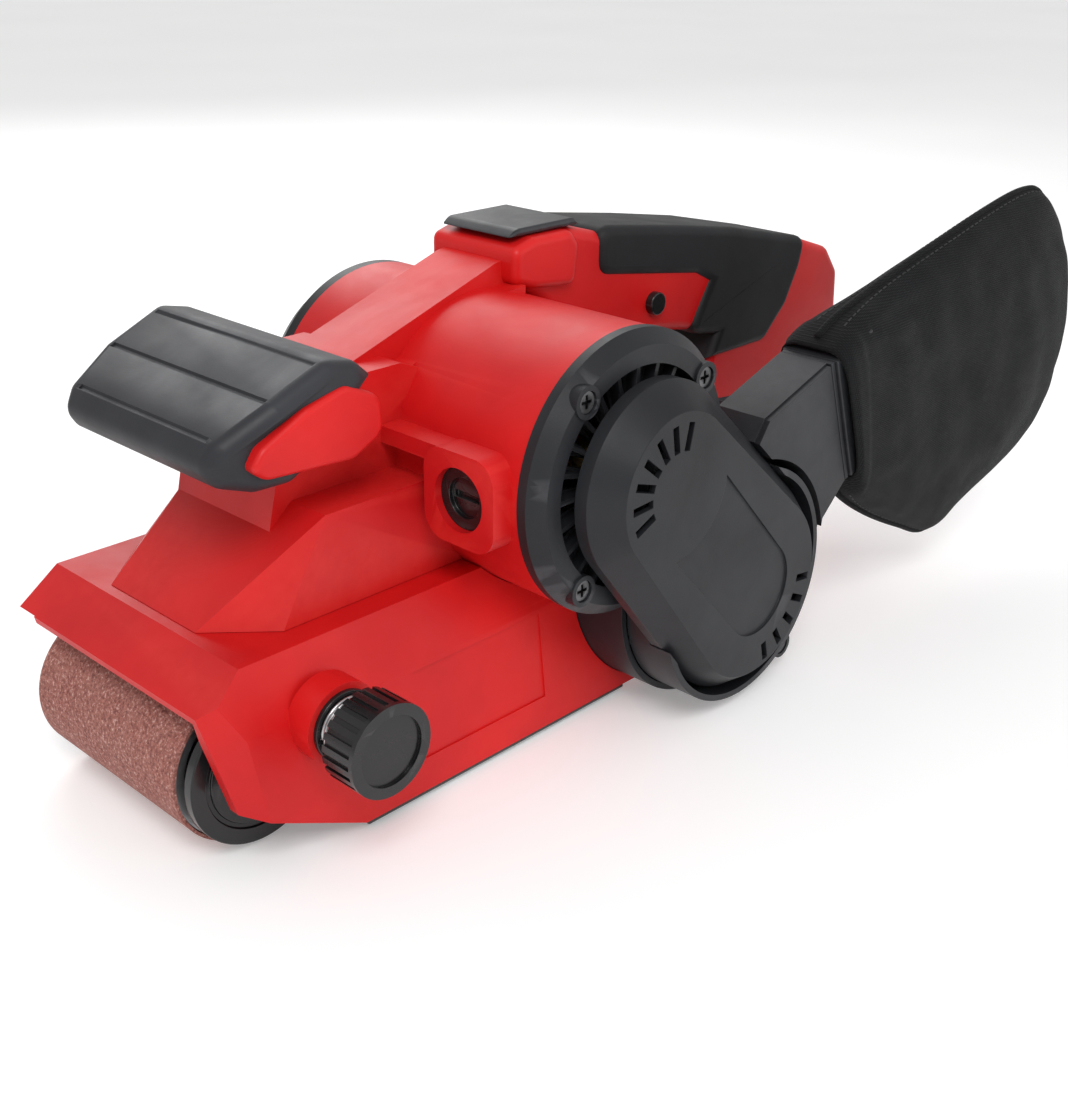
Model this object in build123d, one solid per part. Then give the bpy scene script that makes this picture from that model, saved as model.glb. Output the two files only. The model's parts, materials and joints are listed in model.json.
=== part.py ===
from build123d import *
from math import acos, atan2, cos, degrees, hypot, pi, radians, sin, tan
import os

os.makedirs("parts", exist_ok=True)

# Handheld belt sander. Nose towards -X, drive side and dust duct towards -Y, +Z up.
# The origin is the middle of the flat run of sanding belt that meets the work.

# ---------------------------------------------------------------- driving sizes (mm)
# Sanding belt and its two rollers
BELT_WIDTH = 76.0
BELT_LENGTH = 457.0
BELT_THICK = 1.0
ROLLER_RADIUS = 24.5
ROLLER_WIDTH = 74.0
TREAD_THICK = 2.5

# Drive line
MOTOR_X = 45.0
MOTOR_Z = 96.5
SHAFT_RADIUS = 4.0
GEAR_MODULE = 1.0
PINION_TEETH = 16
GEAR_TEETH = 38
GEAR_ANGLE = 50.3
GEAR_WIDTH = 6.0
PULLEY_PITCH = 3.0
MOTOR_PULLEY_TEETH = 16
DRIVEN_PULLEY_TEETH = 44
PULLEY_WIDTH = 7.0
BEARING_OUTER = 11.0
BEARING_WIDTH = 7.0

# Housings
BARREL_RADIUS = 46.0
WALL = 3.0
THIN_WALL = 2.2
HOOD_TOP = 64.4
HOOD_HALF = 49.4
HOOD_REAR = 107.0
PANEL_FLARE = 62.4
PANEL_BOTTOM = 3.2
HANDLE_HALF = 17.0
CREST_HALF = 21.0
GRIP_SKIN = 1.6
GRIP_HALF = 43.0
COVER_FACE = 102.0
DRUM_RADIUS = 42.0
DUCT_ANGLE = 20.0

# Front end
KNOB_X = -59.5
KNOB_Z = 44.0
KNOB_RADIUS = 14.5

# Clearances
RUN = 0.05            # shaft in its bore, radially
SOFT = 0.3            # curved faces of different pieces that only come close
FIT = 0.2             # covers, pads and plates beside each other

# ---------------------------------------------------------------- worked-out sizes
BELT_INSIDE = ROLLER_RADIUS + SOFT
BELT_OUTSIDE = BELT_INSIDE + BELT_THICK
WHEEL_BASE = (BELT_LENGTH - 2 * pi * (BELT_INSIDE + BELT_THICK / 2)) / 2
FRONT_X = -WHEEL_BASE / 2
REAR_X = WHEEL_BASE / 2
AXLE_Z = BELT_OUTSIDE
FRONT = (FRONT_X, AXLE_Z)
REAR = (REAR_X, AXLE_Z)
MOTOR = (MOTOR_X, MOTOR_Z)
GEAR_CENTRES = GEAR_MODULE * (PINION_TEETH + GEAR_TEETH) / 2
COUNTER = (
    REAR_X + GEAR_CENTRES * cos(radians(GEAR_ANGLE)),
    AXLE_Z + GEAR_CENTRES * sin(radians(GEAR_ANGLE)),
)
MOTOR_PULLEY_RADIUS = MOTOR_PULLEY_TEETH * PULLEY_PITCH / (2 * pi)
DRIVEN_PULLEY_RADIUS = DRIVEN_PULLEY_TEETH * PULLEY_PITCH / (2 * pi)

# Stations across the machine, as y of the near (-Y) and far faces
FRAME_NEAR = -47.0
FRAME_FAR = -40.0
GEARCASE_NEAR = -58.0
FAN_BACK = GEARCASE_NEAR - FIT
FAN_FRONT = -79.0
DRUM_FRONT = -97.0
RING_BACK = -78.0
RING_FRONT = -86.0
PULLEY_NEAR = -97.0
PULLEY_FAR = PULLEY_NEAR + PULLEY_WIDTH


# ---------------------------------------------------------------- shape helpers
def prism(points, y_low, y_high):
    """Extrude a closed outline of (x, z) points along Y."""
    outline = Polyline([(x, y_low, z) for x, z in points], close=True)
    return extrude(make_face(outline), amount=y_high - y_low, dir=(0, 1, 0))


def prism_x(points, x_low, x_high):
    """Extrude a closed outline of (y, z) points along X."""
    outline = Polyline([(x_low, y, z) for y, z in points], close=True)
    return extrude(make_face(outline), amount=x_high - x_low, dir=(1, 0, 0))


def prism_z(points, z_low, z_high):
    """Extrude a closed outline of (x, y) points along Z."""
    outline = Polyline([(x, y, z_low) for x, y in points], close=True)
    return extrude(make_face(outline), amount=z_high - z_low, dir=(0, 0, 1))


def shrink(points, amount):
    """Move every side of a closed outline inwards; a negative amount grows it."""
    count = len(points)
    turning = sum(
        points[n][0] * points[(n + 1) % count][1] - points[(n + 1) % count][0] * points[n][1] for n in range(count)
    )
    hand = 1 if turning > 0 else -1
    moved = []
    for n in range(count):
        before, here, after = points[n - 1], points[n], points[(n + 1) % count]
        first = hypot(here[0] - before[0], here[1] - before[1])
        second = hypot(after[0] - here[0], after[1] - here[1])
        normal_a = (-hand * (here[1] - before[1]) / first, hand * (here[0] - before[0]) / first)
        normal_b = (-hand * (after[1] - here[1]) / second, hand * (after[0] - here[0]) / second)
        share = amount / (1 + normal_a[0] * normal_b[0] + normal_a[1] * normal_b[1])
        moved.append((here[0] + share * (normal_a[0] + normal_b[0]), here[1] + share * (normal_a[1] + normal_b[1])))
    return moved


def rod(centre, radius, y_low, y_high):
    """Round bar along Y at centre (x, z)."""
    plane = Plane(origin=(centre[0], y_low, centre[1]), x_dir=(1, 0, 0), z_dir=(0, 1, 0))
    return Part() + Solid.make_cylinder(radius, y_high - y_low, plane)


def tube(centre, outer, inner, y_low, y_high):
    """Ring along Y at centre (x, z)."""
    return rod(centre, outer, y_low, y_high) - rod(centre, inner, y_low - 1, y_high + 1)


def cone(centre, radius_low, radius_high, y_low, y_high):
    """Tapered bar along Y at centre (x, z)."""
    plane = Plane(origin=(centre[0], y_low, centre[1]), x_dir=(1, 0, 0), z_dir=(0, 1, 0))
    return Part() + Solid.make_cone(radius_low, radius_high, y_high - y_low, plane)


def bar(start, direction, radius, length):
    """Round bar from a point along any direction."""
    return Part() + Solid.make_cylinder(radius, length, Plane(origin=start, z_dir=direction))


def box(x_low, x_high, y_low, y_high, z_low, z_high):
    """Box between two corners."""
    shape = Box(x_high - x_low, y_high - y_low, z_high - z_low)
    return Pos((x_low + x_high) / 2, (y_low + y_high) / 2, (z_low + z_high) / 2) * shape


def polar(centre, radius, angle):
    """Point (x, z) at a radius and an angle in degrees from a centre."""
    return (centre[0] + radius * cos(radians(angle)), centre[1] + radius * sin(radians(angle)))


def capsule(first, first_radius, second, second_radius, y_low, y_high):
    """Outline round two circles with straight tangents, extruded along Y."""
    run = hypot(second[0] - first[0], second[1] - first[1])
    heading = degrees(atan2(second[1] - first[1], second[0] - first[0]))
    spread = degrees(acos((first_radius - second_radius) / run))

    def at(centre, radius, angle):
        x, z = polar(centre, radius, angle)
        return (x, y_low, z)

    left = ThreePointArc(
        at(first, first_radius, heading + spread),
        at(first, first_radius, heading + 180),
        at(first, first_radius, heading - spread),
    )
    right = ThreePointArc(
        at(second, second_radius, heading - spread),
        at(second, second_radius, heading),
        at(second, second_radius, heading + spread),
    )
    edges = [left, Line(left @ 1, right @ 0), right, Line(right @ 1, left @ 0)]
    return extrude(make_face(edges), amount=y_high - y_low, dir=(0, 1, 0))


def slots_round(centre, inner, outer, width, angles, y_low, y_high):
    """Radial slots round a centre, to be cut out of a wall."""
    cutters = Part()
    for angle in angles:
        slot = box(inner, outer, y_low, y_high, -width / 2, width / 2)
        cutters += Pos(centre[0], 0, centre[1]) * Rot(0, -angle, 0) * slot
    return cutters


def save(shape, name):
    """Write one sub-part as its own STEP file."""
    export_step(shape, f"parts/{name}.step")


# ---------------------------------------------------------------- sanding belt and rollers
def racetrack(radius, y_low, y_high):
    """Closed run round both rollers at one radius."""
    return capsule(FRONT, radius, REAR, radius, y_low, y_high)


sanding_belt = racetrack(BELT_OUTSIDE, -BELT_WIDTH / 2, BELT_WIDTH / 2) - racetrack(
    BELT_INSIDE, -BELT_WIDTH / 2 - 1, BELT_WIDTH / 2 + 1
)
save(sanding_belt, "sanding_belt")

HALF_ROLLER = ROLLER_WIDTH / 2
BUSH_RADIUS = 8.0
BUSH_WIDTH = 6.0
AXLE_RADIUS = 4.0
front_roller = rod(FRONT, ROLLER_RADIUS, -HALF_ROLLER, HALF_ROLLER)
front_roller -= tube(FRONT, ROLLER_RADIUS - WALL, BUSH_RADIUS + WALL, 4, HALF_ROLLER + 1)
front_roller -= tube(FRONT, ROLLER_RADIUS - WALL, BUSH_RADIUS + WALL, -HALF_ROLLER - 1, -4)
front_roller -= rod(FRONT, BUSH_RADIUS, -HALF_ROLLER - 1, HALF_ROLLER + 1)
save(front_roller, "front_roller")

front_bushes = Part()
for side in (-1, 1):
    low, high = sorted((side * HALF_ROLLER, side * (HALF_ROLLER - BUSH_WIDTH)))
    front_bushes += tube(FRONT, BUSH_RADIUS, AXLE_RADIUS + RUN, low, high)
save(front_bushes, "front_roller_bushes")

rear_core = rod(REAR, ROLLER_RADIUS - TREAD_THICK, -HALF_ROLLER, HALF_ROLLER)
rear_core -= tube(REAR, ROLLER_RADIUS - TREAD_THICK - WALL, SHAFT_RADIUS + WALL + 2, 6, HALF_ROLLER + 1)
rear_core -= tube(REAR, ROLLER_RADIUS - TREAD_THICK - WALL, SHAFT_RADIUS + WALL + 2, -HALF_ROLLER - 1, -6)
rear_core -= rod(REAR, SHAFT_RADIUS, -HALF_ROLLER - 1, HALF_ROLLER + 1)
save(rear_core, "rear_roller_core")
rear_tread = tube(REAR, ROLLER_RADIUS, ROLLER_RADIUS - TREAD_THICK, -HALF_ROLLER, HALF_ROLLER)
save(rear_tread, "rear_roller_tread")

# ---------------------------------------------------------------- gears and bearings
ADDENDUM = 0.8
DEDENDUM = 1.15
PRESSURE = radians(20)
BACKLASH = 0.24


def gear(centre, teeth, bore, y_low, y_high, start):
    """Spur gear with involute flanks; start is the angle of one tooth's middle."""
    pitch_radius = GEAR_MODULE * teeth / 2
    base_radius = pitch_radius * cos(PRESSURE)
    tip_radius = pitch_radius + ADDENDUM * GEAR_MODULE
    root_radius = pitch_radius - DEDENDUM * GEAR_MODULE
    half_tooth = pi / (2 * teeth) - BACKLASH / (4 * pitch_radius)
    flank_roll = tan(PRESSURE) - PRESSURE

    def half_angle(radius):
        roll = acos(min(1.0, base_radius / radius))
        return half_tooth + flank_roll - (tan(roll) - roll)

    first_radius = max(base_radius, root_radius)
    radii = [first_radius + (tip_radius - first_radius) * step / 4 for step in range(5)]
    points = []
    for tooth in range(teeth):
        middle = radians(start) + 2 * pi * tooth / teeth
        rising = [(root_radius, -half_angle(first_radius))] + [(r, -half_angle(r)) for r in radii]
        falling = [(radius, -angle) for radius, angle in reversed(rising)]
        for radius, angle in rising + falling:
            points.append(polar(centre, radius, degrees(middle + angle)))
    body = prism(points, y_low, y_high)
    return body - rod(centre, bore, y_low - 1, y_high + 1)


GEAR_NEAR = -56.0
save(gear(REAR, GEAR_TEETH, SHAFT_RADIUS, GEAR_NEAR, GEAR_NEAR + GEAR_WIDTH, GEAR_ANGLE), "drive_gear")
PINION_START = GEAR_ANGLE + 180 + 180 / PINION_TEETH
pinion = gear(COUNTER, PINION_TEETH, SHAFT_RADIUS, GEAR_NEAR - 0.5, GEAR_NEAR + GEAR_WIDTH + 0.5, PINION_START)

SMALL_BEARING_OUTER = 8.0
SMALL_BEARING_WIDTH = 4.0


def bearing(centre, outer, y_low, width):
    """Ball bearing as one closed ring with its two shield grooves."""
    ring = tube(centre, outer, SHAFT_RADIUS, y_low, y_low + width)
    groove_out = outer - 1.6
    groove_in = SHAFT_RADIUS + 1.4
    ring -= tube(centre, groove_out, groove_in, y_low - 1, y_low + 0.4)
    ring -= tube(centre, groove_out, groove_in, y_low + width - 0.4, y_low + width + 1)
    return ring


COUNTER_BEARING_NEAR = -87.0
MOTOR_BEARING_NEAR = -86.0
FAR_BEARING_LOW = 42.0
REAR_SMALL_LOW = -62.5
shaft_bearings = [
    (REAR, BEARING_OUTER, FRAME_NEAR, BEARING_WIDTH),
    (REAR, SMALL_BEARING_OUTER, REAR_SMALL_LOW, SMALL_BEARING_WIDTH),
    (COUNTER, BEARING_OUTER, FRAME_NEAR, BEARING_WIDTH),
    (COUNTER, BEARING_OUTER, COUNTER_BEARING_NEAR, BEARING_WIDTH),
    (MOTOR, BEARING_OUTER, MOTOR_BEARING_NEAR, BEARING_WIDTH),
    (MOTOR, BEARING_OUTER, FAR_BEARING_LOW, BEARING_WIDTH),
]
save(Part() + [bearing(*entry) for entry in shaft_bearings], "ball_bearings")

JOURNAL = SHAFT_RADIUS - RUN


def stepped_shaft(centre, y_low, y_high, journals):
    """Shaft of full size, turned down by the running clearance where a bearing sits."""
    shaft = rod(centre, SHAFT_RADIUS, y_low, y_high)
    for start, width in journals:
        shaft -= tube(centre, SHAFT_RADIUS + 1, JOURNAL, start, start + width)
    return shaft


rear_shaft = stepped_shaft(
    REAR, REAR_SMALL_LOW, 30, [(FRAME_NEAR, BEARING_WIDTH), (REAR_SMALL_LOW, SMALL_BEARING_WIDTH)]
)
save(rear_shaft, "rear_shaft")
counter_shaft = stepped_shaft(
    COUNTER, PULLEY_NEAR, FRAME_FAR, [(FRAME_NEAR, BEARING_WIDTH), (COUNTER_BEARING_NEAR, BEARING_WIDTH)]
)
save(counter_shaft + pinion, "counter_shaft")
armature_shaft = stepped_shaft(
    MOTOR,
    PULLEY_NEAR,
    FAR_BEARING_LOW + BEARING_WIDTH,
    [(MOTOR_BEARING_NEAR, BEARING_WIDTH), (FAR_BEARING_LOW, BEARING_WIDTH)],
)
save(armature_shaft, "armature_shaft")


# ---------------------------------------------------------------- toothed drive belt and pulleys
PULLEY_FLANGE = 0.8
PULLEY_GROOVE = 1.0
DRIVE_BELT_THICK = 1.6


def pulley(centre, radius, teeth, y_low, y_high):
    """Toothed pulley with a flange at each end."""
    wheel = rod(centre, radius, y_low, y_high)
    grooves = slots_round(
        centre,
        radius - PULLEY_GROOVE,
        radius + 1,
        PULLEY_PITCH / 2,
        [360 * tooth / teeth for tooth in range(teeth)],
        y_low + PULLEY_FLANGE,
        y_high - PULLEY_FLANGE,
    )
    return wheel - grooves - rod(centre, SHAFT_RADIUS, y_low - 1, y_high + 1)


save(pulley(MOTOR, MOTOR_PULLEY_RADIUS, MOTOR_PULLEY_TEETH, PULLEY_NEAR, PULLEY_FAR), "motor_pulley")
save(pulley(COUNTER, DRIVEN_PULLEY_RADIUS, DRIVEN_PULLEY_TEETH, PULLEY_NEAR, PULLEY_FAR), "driven_pulley")
drive_belt = capsule(
    MOTOR,
    MOTOR_PULLEY_RADIUS + SOFT + DRIVE_BELT_THICK,
    COUNTER,
    DRIVEN_PULLEY_RADIUS + SOFT + DRIVE_BELT_THICK,
    PULLEY_NEAR + PULLEY_FLANGE,
    PULLEY_FAR - PULLEY_FLANGE,
)
drive_belt -= capsule(
    MOTOR,
    MOTOR_PULLEY_RADIUS + SOFT,
    COUNTER,
    DRIVEN_PULLEY_RADIUS + SOFT,
    PULLEY_NEAR - 1,
    PULLEY_FAR + 1,
)
save(drive_belt, "toothed_belt")

# ---------------------------------------------------------------- motor
STACK_LOW = -30.0
STACK_HIGH = 22.0
STATOR_RADIUS = 37.0
STATOR_BORE = 24.4
ARMATURE_RADIUS = 23.8
COIL_LENGTH = 9.0
ARMATURE_SLOTS = 12
stator = tube(MOTOR, STATOR_RADIUS, STATOR_BORE, STACK_LOW, STACK_HIGH)
save(stator, "stator_core")
COIL_OUTER = 34.0
coils = tube(MOTOR, COIL_OUTER, STATOR_BORE, STACK_LOW - COIL_LENGTH, STACK_LOW)
coils += tube(MOTOR, COIL_OUTER, STATOR_BORE, STACK_HIGH, STACK_HIGH + COIL_LENGTH)
save(coils, "field_coils")

armature_core = tube(MOTOR, ARMATURE_RADIUS, SHAFT_RADIUS, STACK_LOW, STACK_HIGH)
armature_core -= slots_round(
    MOTOR,
    ARMATURE_RADIUS - 6,
    ARMATURE_RADIUS + 1,
    2.0,
    [360 * slot / ARMATURE_SLOTS for slot in range(ARMATURE_SLOTS)],
    STACK_LOW - 1,
    STACK_HIGH + 1,
)
save(armature_core, "armature_core")
WINDING_OUTER = 20.0
windings = tube(MOTOR, WINDING_OUTER, SHAFT_RADIUS, STACK_LOW - COIL_LENGTH, STACK_LOW)
windings += tube(MOTOR, WINDING_OUTER, SHAFT_RADIUS, STACK_HIGH, STACK_HIGH + COIL_LENGTH)
save(windings, "armature_windings")

COMMUTATOR_RADIUS = 12.0
COMMUTATOR_LOW = -68.0
COMMUTATOR_HIGH = -50.0
commutator = tube(MOTOR, COMMUTATOR_RADIUS, SHAFT_RADIUS, COMMUTATOR_LOW, COMMUTATOR_HIGH)
commutator -= slots_round(
    MOTOR,
    COMMUTATOR_RADIUS - 1.0,
    COMMUTATOR_RADIUS + 1,
    0.6,
    [360 * bar_number / 24 for bar_number in range(24)],
    COMMUTATOR_LOW - 1,
    COMMUTATOR_HIGH + 1,
)
save(commutator, "commutator")

COOLING_FAN_LOW = 33.0
COOLING_FAN_HIGH = 38.4
COOLING_FAN_RADIUS = 37.0
cooling_fan = tube(MOTOR, COOLING_FAN_RADIUS, SHAFT_RADIUS, COOLING_FAN_LOW, COOLING_FAN_LOW + 1.6)
cooling_fan += tube(MOTOR, 10, SHAFT_RADIUS, COOLING_FAN_LOW, COOLING_FAN_HIGH)
for blade in range(13):
    vane = box(9, COOLING_FAN_RADIUS, COOLING_FAN_LOW, COOLING_FAN_HIGH, -0.7, 0.7)
    cooling_fan += Pos(MOTOR_X, 0, MOTOR_Z) * Rot(0, 360 / 13 * blade, 0) * vane
cooling_fan -= rod(MOTOR, SHAFT_RADIUS, COOLING_FAN_LOW - 1, COOLING_FAN_HIGH + 1)
save(cooling_fan, "cooling_fan")

# Brushes lie fore and aft of the commutator, each behind a screwed cap
BRUSH_Y = -60.0
BRUSH_HALF_Y = 4.0
BRUSH_HALF_Z = 2.5
BRUSH_LENGTH = 14.0
HOLDER_WALL = 1.2
CAP_RADIUS = 10.2
CAP_THICK = 5.0
BOSS_RADIUS = 15.0
BOSS_REACH = 53.0
CAP_RECESS = 2.5
brushes = Part()
brush_holders = Part()
brush_caps = Part()
cap_outer = BOSS_REACH - CAP_RECESS
cap_inner = cap_outer - CAP_THICK
brush_start = COMMUTATOR_RADIUS + SOFT
for side in (-1, 1):

    def across(near, far):
        return sorted((MOTOR_X + side * near, MOTOR_X + side * far))

    x_low, x_high = across(brush_start, brush_start + BRUSH_LENGTH)
    brushes += box(
        x_low,
        x_high,
        BRUSH_Y - BRUSH_HALF_Y,
        BRUSH_Y + BRUSH_HALF_Y,
        MOTOR_Z - BRUSH_HALF_Z,
        MOTOR_Z + BRUSH_HALF_Z,
    )
    spring_start = (MOTOR_X + side * (brush_start + BRUSH_LENGTH), BRUSH_Y, MOTOR_Z)
    brush_holders += bar(spring_start, (side, 0, 0), 1.8, cap_inner - brush_start - BRUSH_LENGTH)
    x_low, x_high = across(brush_start + 2, cap_inner)
    holder = box(
        x_low,
        x_high,
        BRUSH_Y - BRUSH_HALF_Y - HOLDER_WALL,
        BRUSH_Y + BRUSH_HALF_Y + HOLDER_WALL,
        MOTOR_Z - BRUSH_HALF_Z - HOLDER_WALL,
        MOTOR_Z + BRUSH_HALF_Z + HOLDER_WALL,
    )
    holder -= box(
        x_low - 1,
        x_high + 1,
        BRUSH_Y - BRUSH_HALF_Y,
        BRUSH_Y + BRUSH_HALF_Y,
        MOTOR_Z - BRUSH_HALF_Z,
        MOTOR_Z + BRUSH_HALF_Z,
    )
    brush_holders += holder
    cap = bar((MOTOR_X + side * cap_inner, BRUSH_Y, MOTOR_Z), (side, 0, 0), CAP_RADIUS, CAP_THICK)
    cap -= bar((MOTOR_X + side * (cap_outer - 1.5), BRUSH_Y, MOTOR_Z), (side, 0, 0), 6.5, 3)
    x_low, x_high = across(cap_outer - 3, cap_outer + 1)
    cap -= box(x_low, x_high, BRUSH_Y - 5.5, BRUSH_Y + 5.5, MOTOR_Z - 1.1, MOTOR_Z + 1.1)
    brush_caps += cap
save(brushes, "carbon_brushes")
save(brush_holders, "brush_holders")
save(brush_caps, "brush_caps")

# ---------------------------------------------------------------- motor housing
BARREL_FAR = 38.0
RING_SCREW_CIRCLE = 39.8
RING_SCREW_ANGLES = (40, 130, 230, 320)
SCREW_BOSS = 4.6
SCREW_SHANK = 1.9
SCREW_HEAD = 3.6
BELLY = 56.0          # flat under the barrel, clear of the belt below it
barrel = rod(MOTOR, BARREL_RADIUS, RING_BACK, BARREL_FAR)

WEDGE_BASE = HOOD_TOP + FIT
WEDGE_SLOPE = 0.86


def wedge(inset):
    """Sloping front of the motor housing; inset moves every side inwards."""
    foot = WEDGE_BASE + inset
    front = -78.7 + inset * 1.6
    top = 96.0 - inset
    front_top = front + (top - foot) / WEDGE_SLOPE
    corners = [
        (front, 22.8 - inset, foot),
        (front, -22.8 + inset, foot),
        (-59.8 + inset, -40.3 + inset, foot),
        (30, -40.3 + inset, foot),
        (30, 40.3 - inset, foot),
        (-59.8 + inset, 40.3 - inset, foot),
        (front_top, 23.8 - inset, top),
        (front_top, -40.0 + inset, top),
        (30, -40.0 + inset, top),
        (30, 23.8 - inset, top),
    ]
    sides = [
        (0, 1, 2, 3, 4, 5),
        (6, 9, 8, 7),
        (0, 6, 7, 1),
        (1, 7, 2),
        (2, 7, 8, 3),
        (3, 8, 9, 4),
        (4, 9, 5),
        (5, 9, 6),
        (5, 6, 0),
    ]
    return corners, sides


def flat_sided(corners, sides):
    """Solid from corners, with every side cut into triangles."""
    faces = []
    for side in sides:
        for step in range(1, len(side) - 1):
            triangle = [corners[side[0]], corners[side[step]], corners[side[step + 1]]]
            faces.append(Face(Wire.make_polygon(triangle, close=True)))
    return Part() + Solid(Shell(faces))


NECK = [(-44, 117), (-30, 128), (-24, 129), (2, 129), (30, 118), (30, 84), (-52, 84)]
RIB = [(-26, 124), (-9, 129.5), (53, 149.8), (59.5, 151), (59.5, 120), (0, 100), (-26, 100)]
neck = prism(NECK, -24, 24)
rib = prism(RIB, -14, 14)
shoulder = prism([(-18, 104), (-9, 118), (40, 141), (59.5, 143), (59.5, 110), (0, 90)], -22, 22)

boss_block = box(MOTOR_X - BOSS_REACH, MOTOR_X, BRUSH_Y - BOSS_RADIUS, BRUSH_Y + BOSS_RADIUS,
                 MOTOR_Z - BOSS_RADIUS, MOTOR_Z + BOSS_RADIUS)
boss_block = fillet(boss_block.edges().filter_by(Axis.X), 8)
ledge = box(MOTOR_X - BOSS_REACH + 1, MOTOR_X, BRUSH_Y, -20, MOTOR_Z + BOSS_RADIUS - 6, MOTOR_Z + BOSS_RADIUS - 0.5)
rear_boss = bar((MOTOR_X, BRUSH_Y, MOTOR_Z), (1, 0, 0), BOSS_RADIUS - 1.5, BOSS_REACH)

housing = barrel + flat_sided(*wedge(0)) + neck + rib + shoulder + boss_block + ledge + rear_boss
cavity = rod(MOTOR, BARREL_RADIUS - WALL, RING_BACK - 1, BARREL_FAR + 1)
stator_ribs = Part()
for angle in (20, 70, 110, 160):
    web = box(STATOR_RADIUS - 1, BARREL_RADIUS - 1, STACK_LOW + 2, STACK_HIGH - 2, -2, 2)
    stator_ribs += Pos(MOTOR_X, 0, MOTOR_Z) * Rot(0, -angle, 0) * web
stator_ribs -= rod(MOTOR, STATOR_RADIUS, STACK_LOW, STACK_HIGH)
floor_cut = box(-200, 200, -42, 200, 0, BELLY)
housing -= floor_cut
hollow_wedge = flat_sided(*wedge(WALL)) - rod(MOTOR, BARREL_RADIUS, -100, 100)
housing -= hollow_wedge
belly_keep = box(-200, 200, -42, 200, BELLY, BELLY + WALL)
housing -= cavity - belly_keep
housing += stator_ribs
ring_screws = [polar(MOTOR, RING_SCREW_CIRCLE, angle) for angle in RING_SCREW_ANGLES]
for spot in ring_screws:
    housing += rod(spot, SCREW_BOSS, RING_BACK, RING_BACK + 16) - rod(MOTOR, BARREL_RADIUS - 8, -100, 0)
    housing -= rod(spot, SCREW_SHANK, RING_BACK - 1, RING_BACK + 12)
for side in (-1, 1):
    seat = bar((MOTOR_X + side * cap_inner, BRUSH_Y, MOTOR_Z), (side, 0, 0), CAP_RADIUS, 30)
    tunnel_low, tunnel_high = sorted((MOTOR_X + side * 20, MOTOR_X + side * cap_inner))
    tunnel = box(
        tunnel_low,
        tunnel_high,
        BRUSH_Y - BRUSH_HALF_Y - HOLDER_WALL,
        BRUSH_Y + BRUSH_HALF_Y + HOLDER_WALL,
        MOTOR_Z - BRUSH_HALF_Z - HOLDER_WALL,
        MOTOR_Z + BRUSH_HALF_Z + HOLDER_WALL,
    )
    housing -= seat + tunnel
save(housing, "motor_housing")

# ---------------------------------------------------------------- far end bell
BELL_FAR = 50.0
BELL_HALFWAY = 42.0
BELL_NOSE = 40.5
HUB_RADIUS = 14.0
bell = rod(MOTOR, BARREL_RADIUS, BARREL_FAR, BELL_HALFWAY)
bell += cone(MOTOR, BARREL_RADIUS, BELL_NOSE, BELL_HALFWAY, BELL_FAR)
bell_hollow = rod(MOTOR, BARREL_RADIUS - WALL, BARREL_FAR - 1, BELL_HALFWAY)
bell_hollow += cone(MOTOR, BARREL_RADIUS - WALL, BELL_NOSE - WALL + 1, BELL_HALFWAY, BELL_FAR - THIN_WALL)
bell -= floor_cut
bell -= flat_sided(*wedge(0))
bell -= bell_hollow - belly_keep
bell += tube(MOTOR, HUB_RADIUS, BEARING_OUTER, FAR_BEARING_LOW, BELL_FAR - 1)
bell -= rod(MOTOR, BEARING_OUTER, FAR_BEARING_LOW - 1, FAR_BEARING_LOW + BEARING_WIDTH)
vent_angles = [angle for angle in range(0, 360, 15) if not 235 < angle < 305]
bell -= slots_round(MOTOR, 18, 34, 3.2, vent_angles, BELL_FAR - WALL - 1, BELL_FAR + 1)
save(bell, "far_end_bell")

# ---------------------------------------------------------------- end ring at the drive side
RING_RADIUS = 46.4
RING_FACE_RADIUS = 42.0
RING_RECESS = 36.0
RING_STEP = -81.5
RING_FLOOR = -80.0
ring = rod(MOTOR, RING_RADIUS, RING_STEP, RING_BACK)
ring += cone(MOTOR, RING_FACE_RADIUS, RING_RADIUS, RING_FRONT, RING_STEP)
ring += rod(MOTOR, BARREL_RADIUS - WALL - FIT, RING_BACK, RING_BACK + 2.5)
ring -= rod(MOTOR, RING_RECESS, RING_FRONT - 1, RING_FLOOR)
ring -= rod(MOTOR, RING_RECESS, RING_BACK, RING_BACK + 3)
ring += rod(MOTOR, HUB_RADIUS, RING_FRONT - 1, RING_BACK)
for rib_number in range(24):
    fin = box(HUB_RADIUS - 1, RING_RECESS + 1, RING_FRONT + 2, RING_FLOOR, -0.8, 0.8)
    ring += Pos(MOTOR_X, 0, MOTOR_Z) * Rot(0, 15 * rib_number, 0) * fin
ring -= slots_round(
    MOTOR, HUB_RADIUS + 3, RING_RECESS - 2, 3.2, [15 * n + 7.5 for n in range(24)], RING_FLOOR - 1, RING_BACK + 1
)
ring -= rod(MOTOR, BEARING_OUTER, MOTOR_BEARING_NEAR, MOTOR_BEARING_NEAR + BEARING_WIDTH)
ring -= rod(MOTOR, SHAFT_RADIUS + 2, RING_FRONT - 2, 0)
for spot in ring_screws:
    ring += rod(spot, SCREW_BOSS + 0.6, RING_FRONT - 0.8, RING_STEP)
    ring -= rod(spot, SCREW_HEAD, RING_FRONT - 2, RING_FRONT + 2.5)
    ring -= rod(spot, SCREW_SHANK, RING_FRONT - 2, 0)
    ring -= rod(spot, SCREW_BOSS + FIT, RING_BACK, 0)
save(ring, "motor_end_ring")


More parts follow.
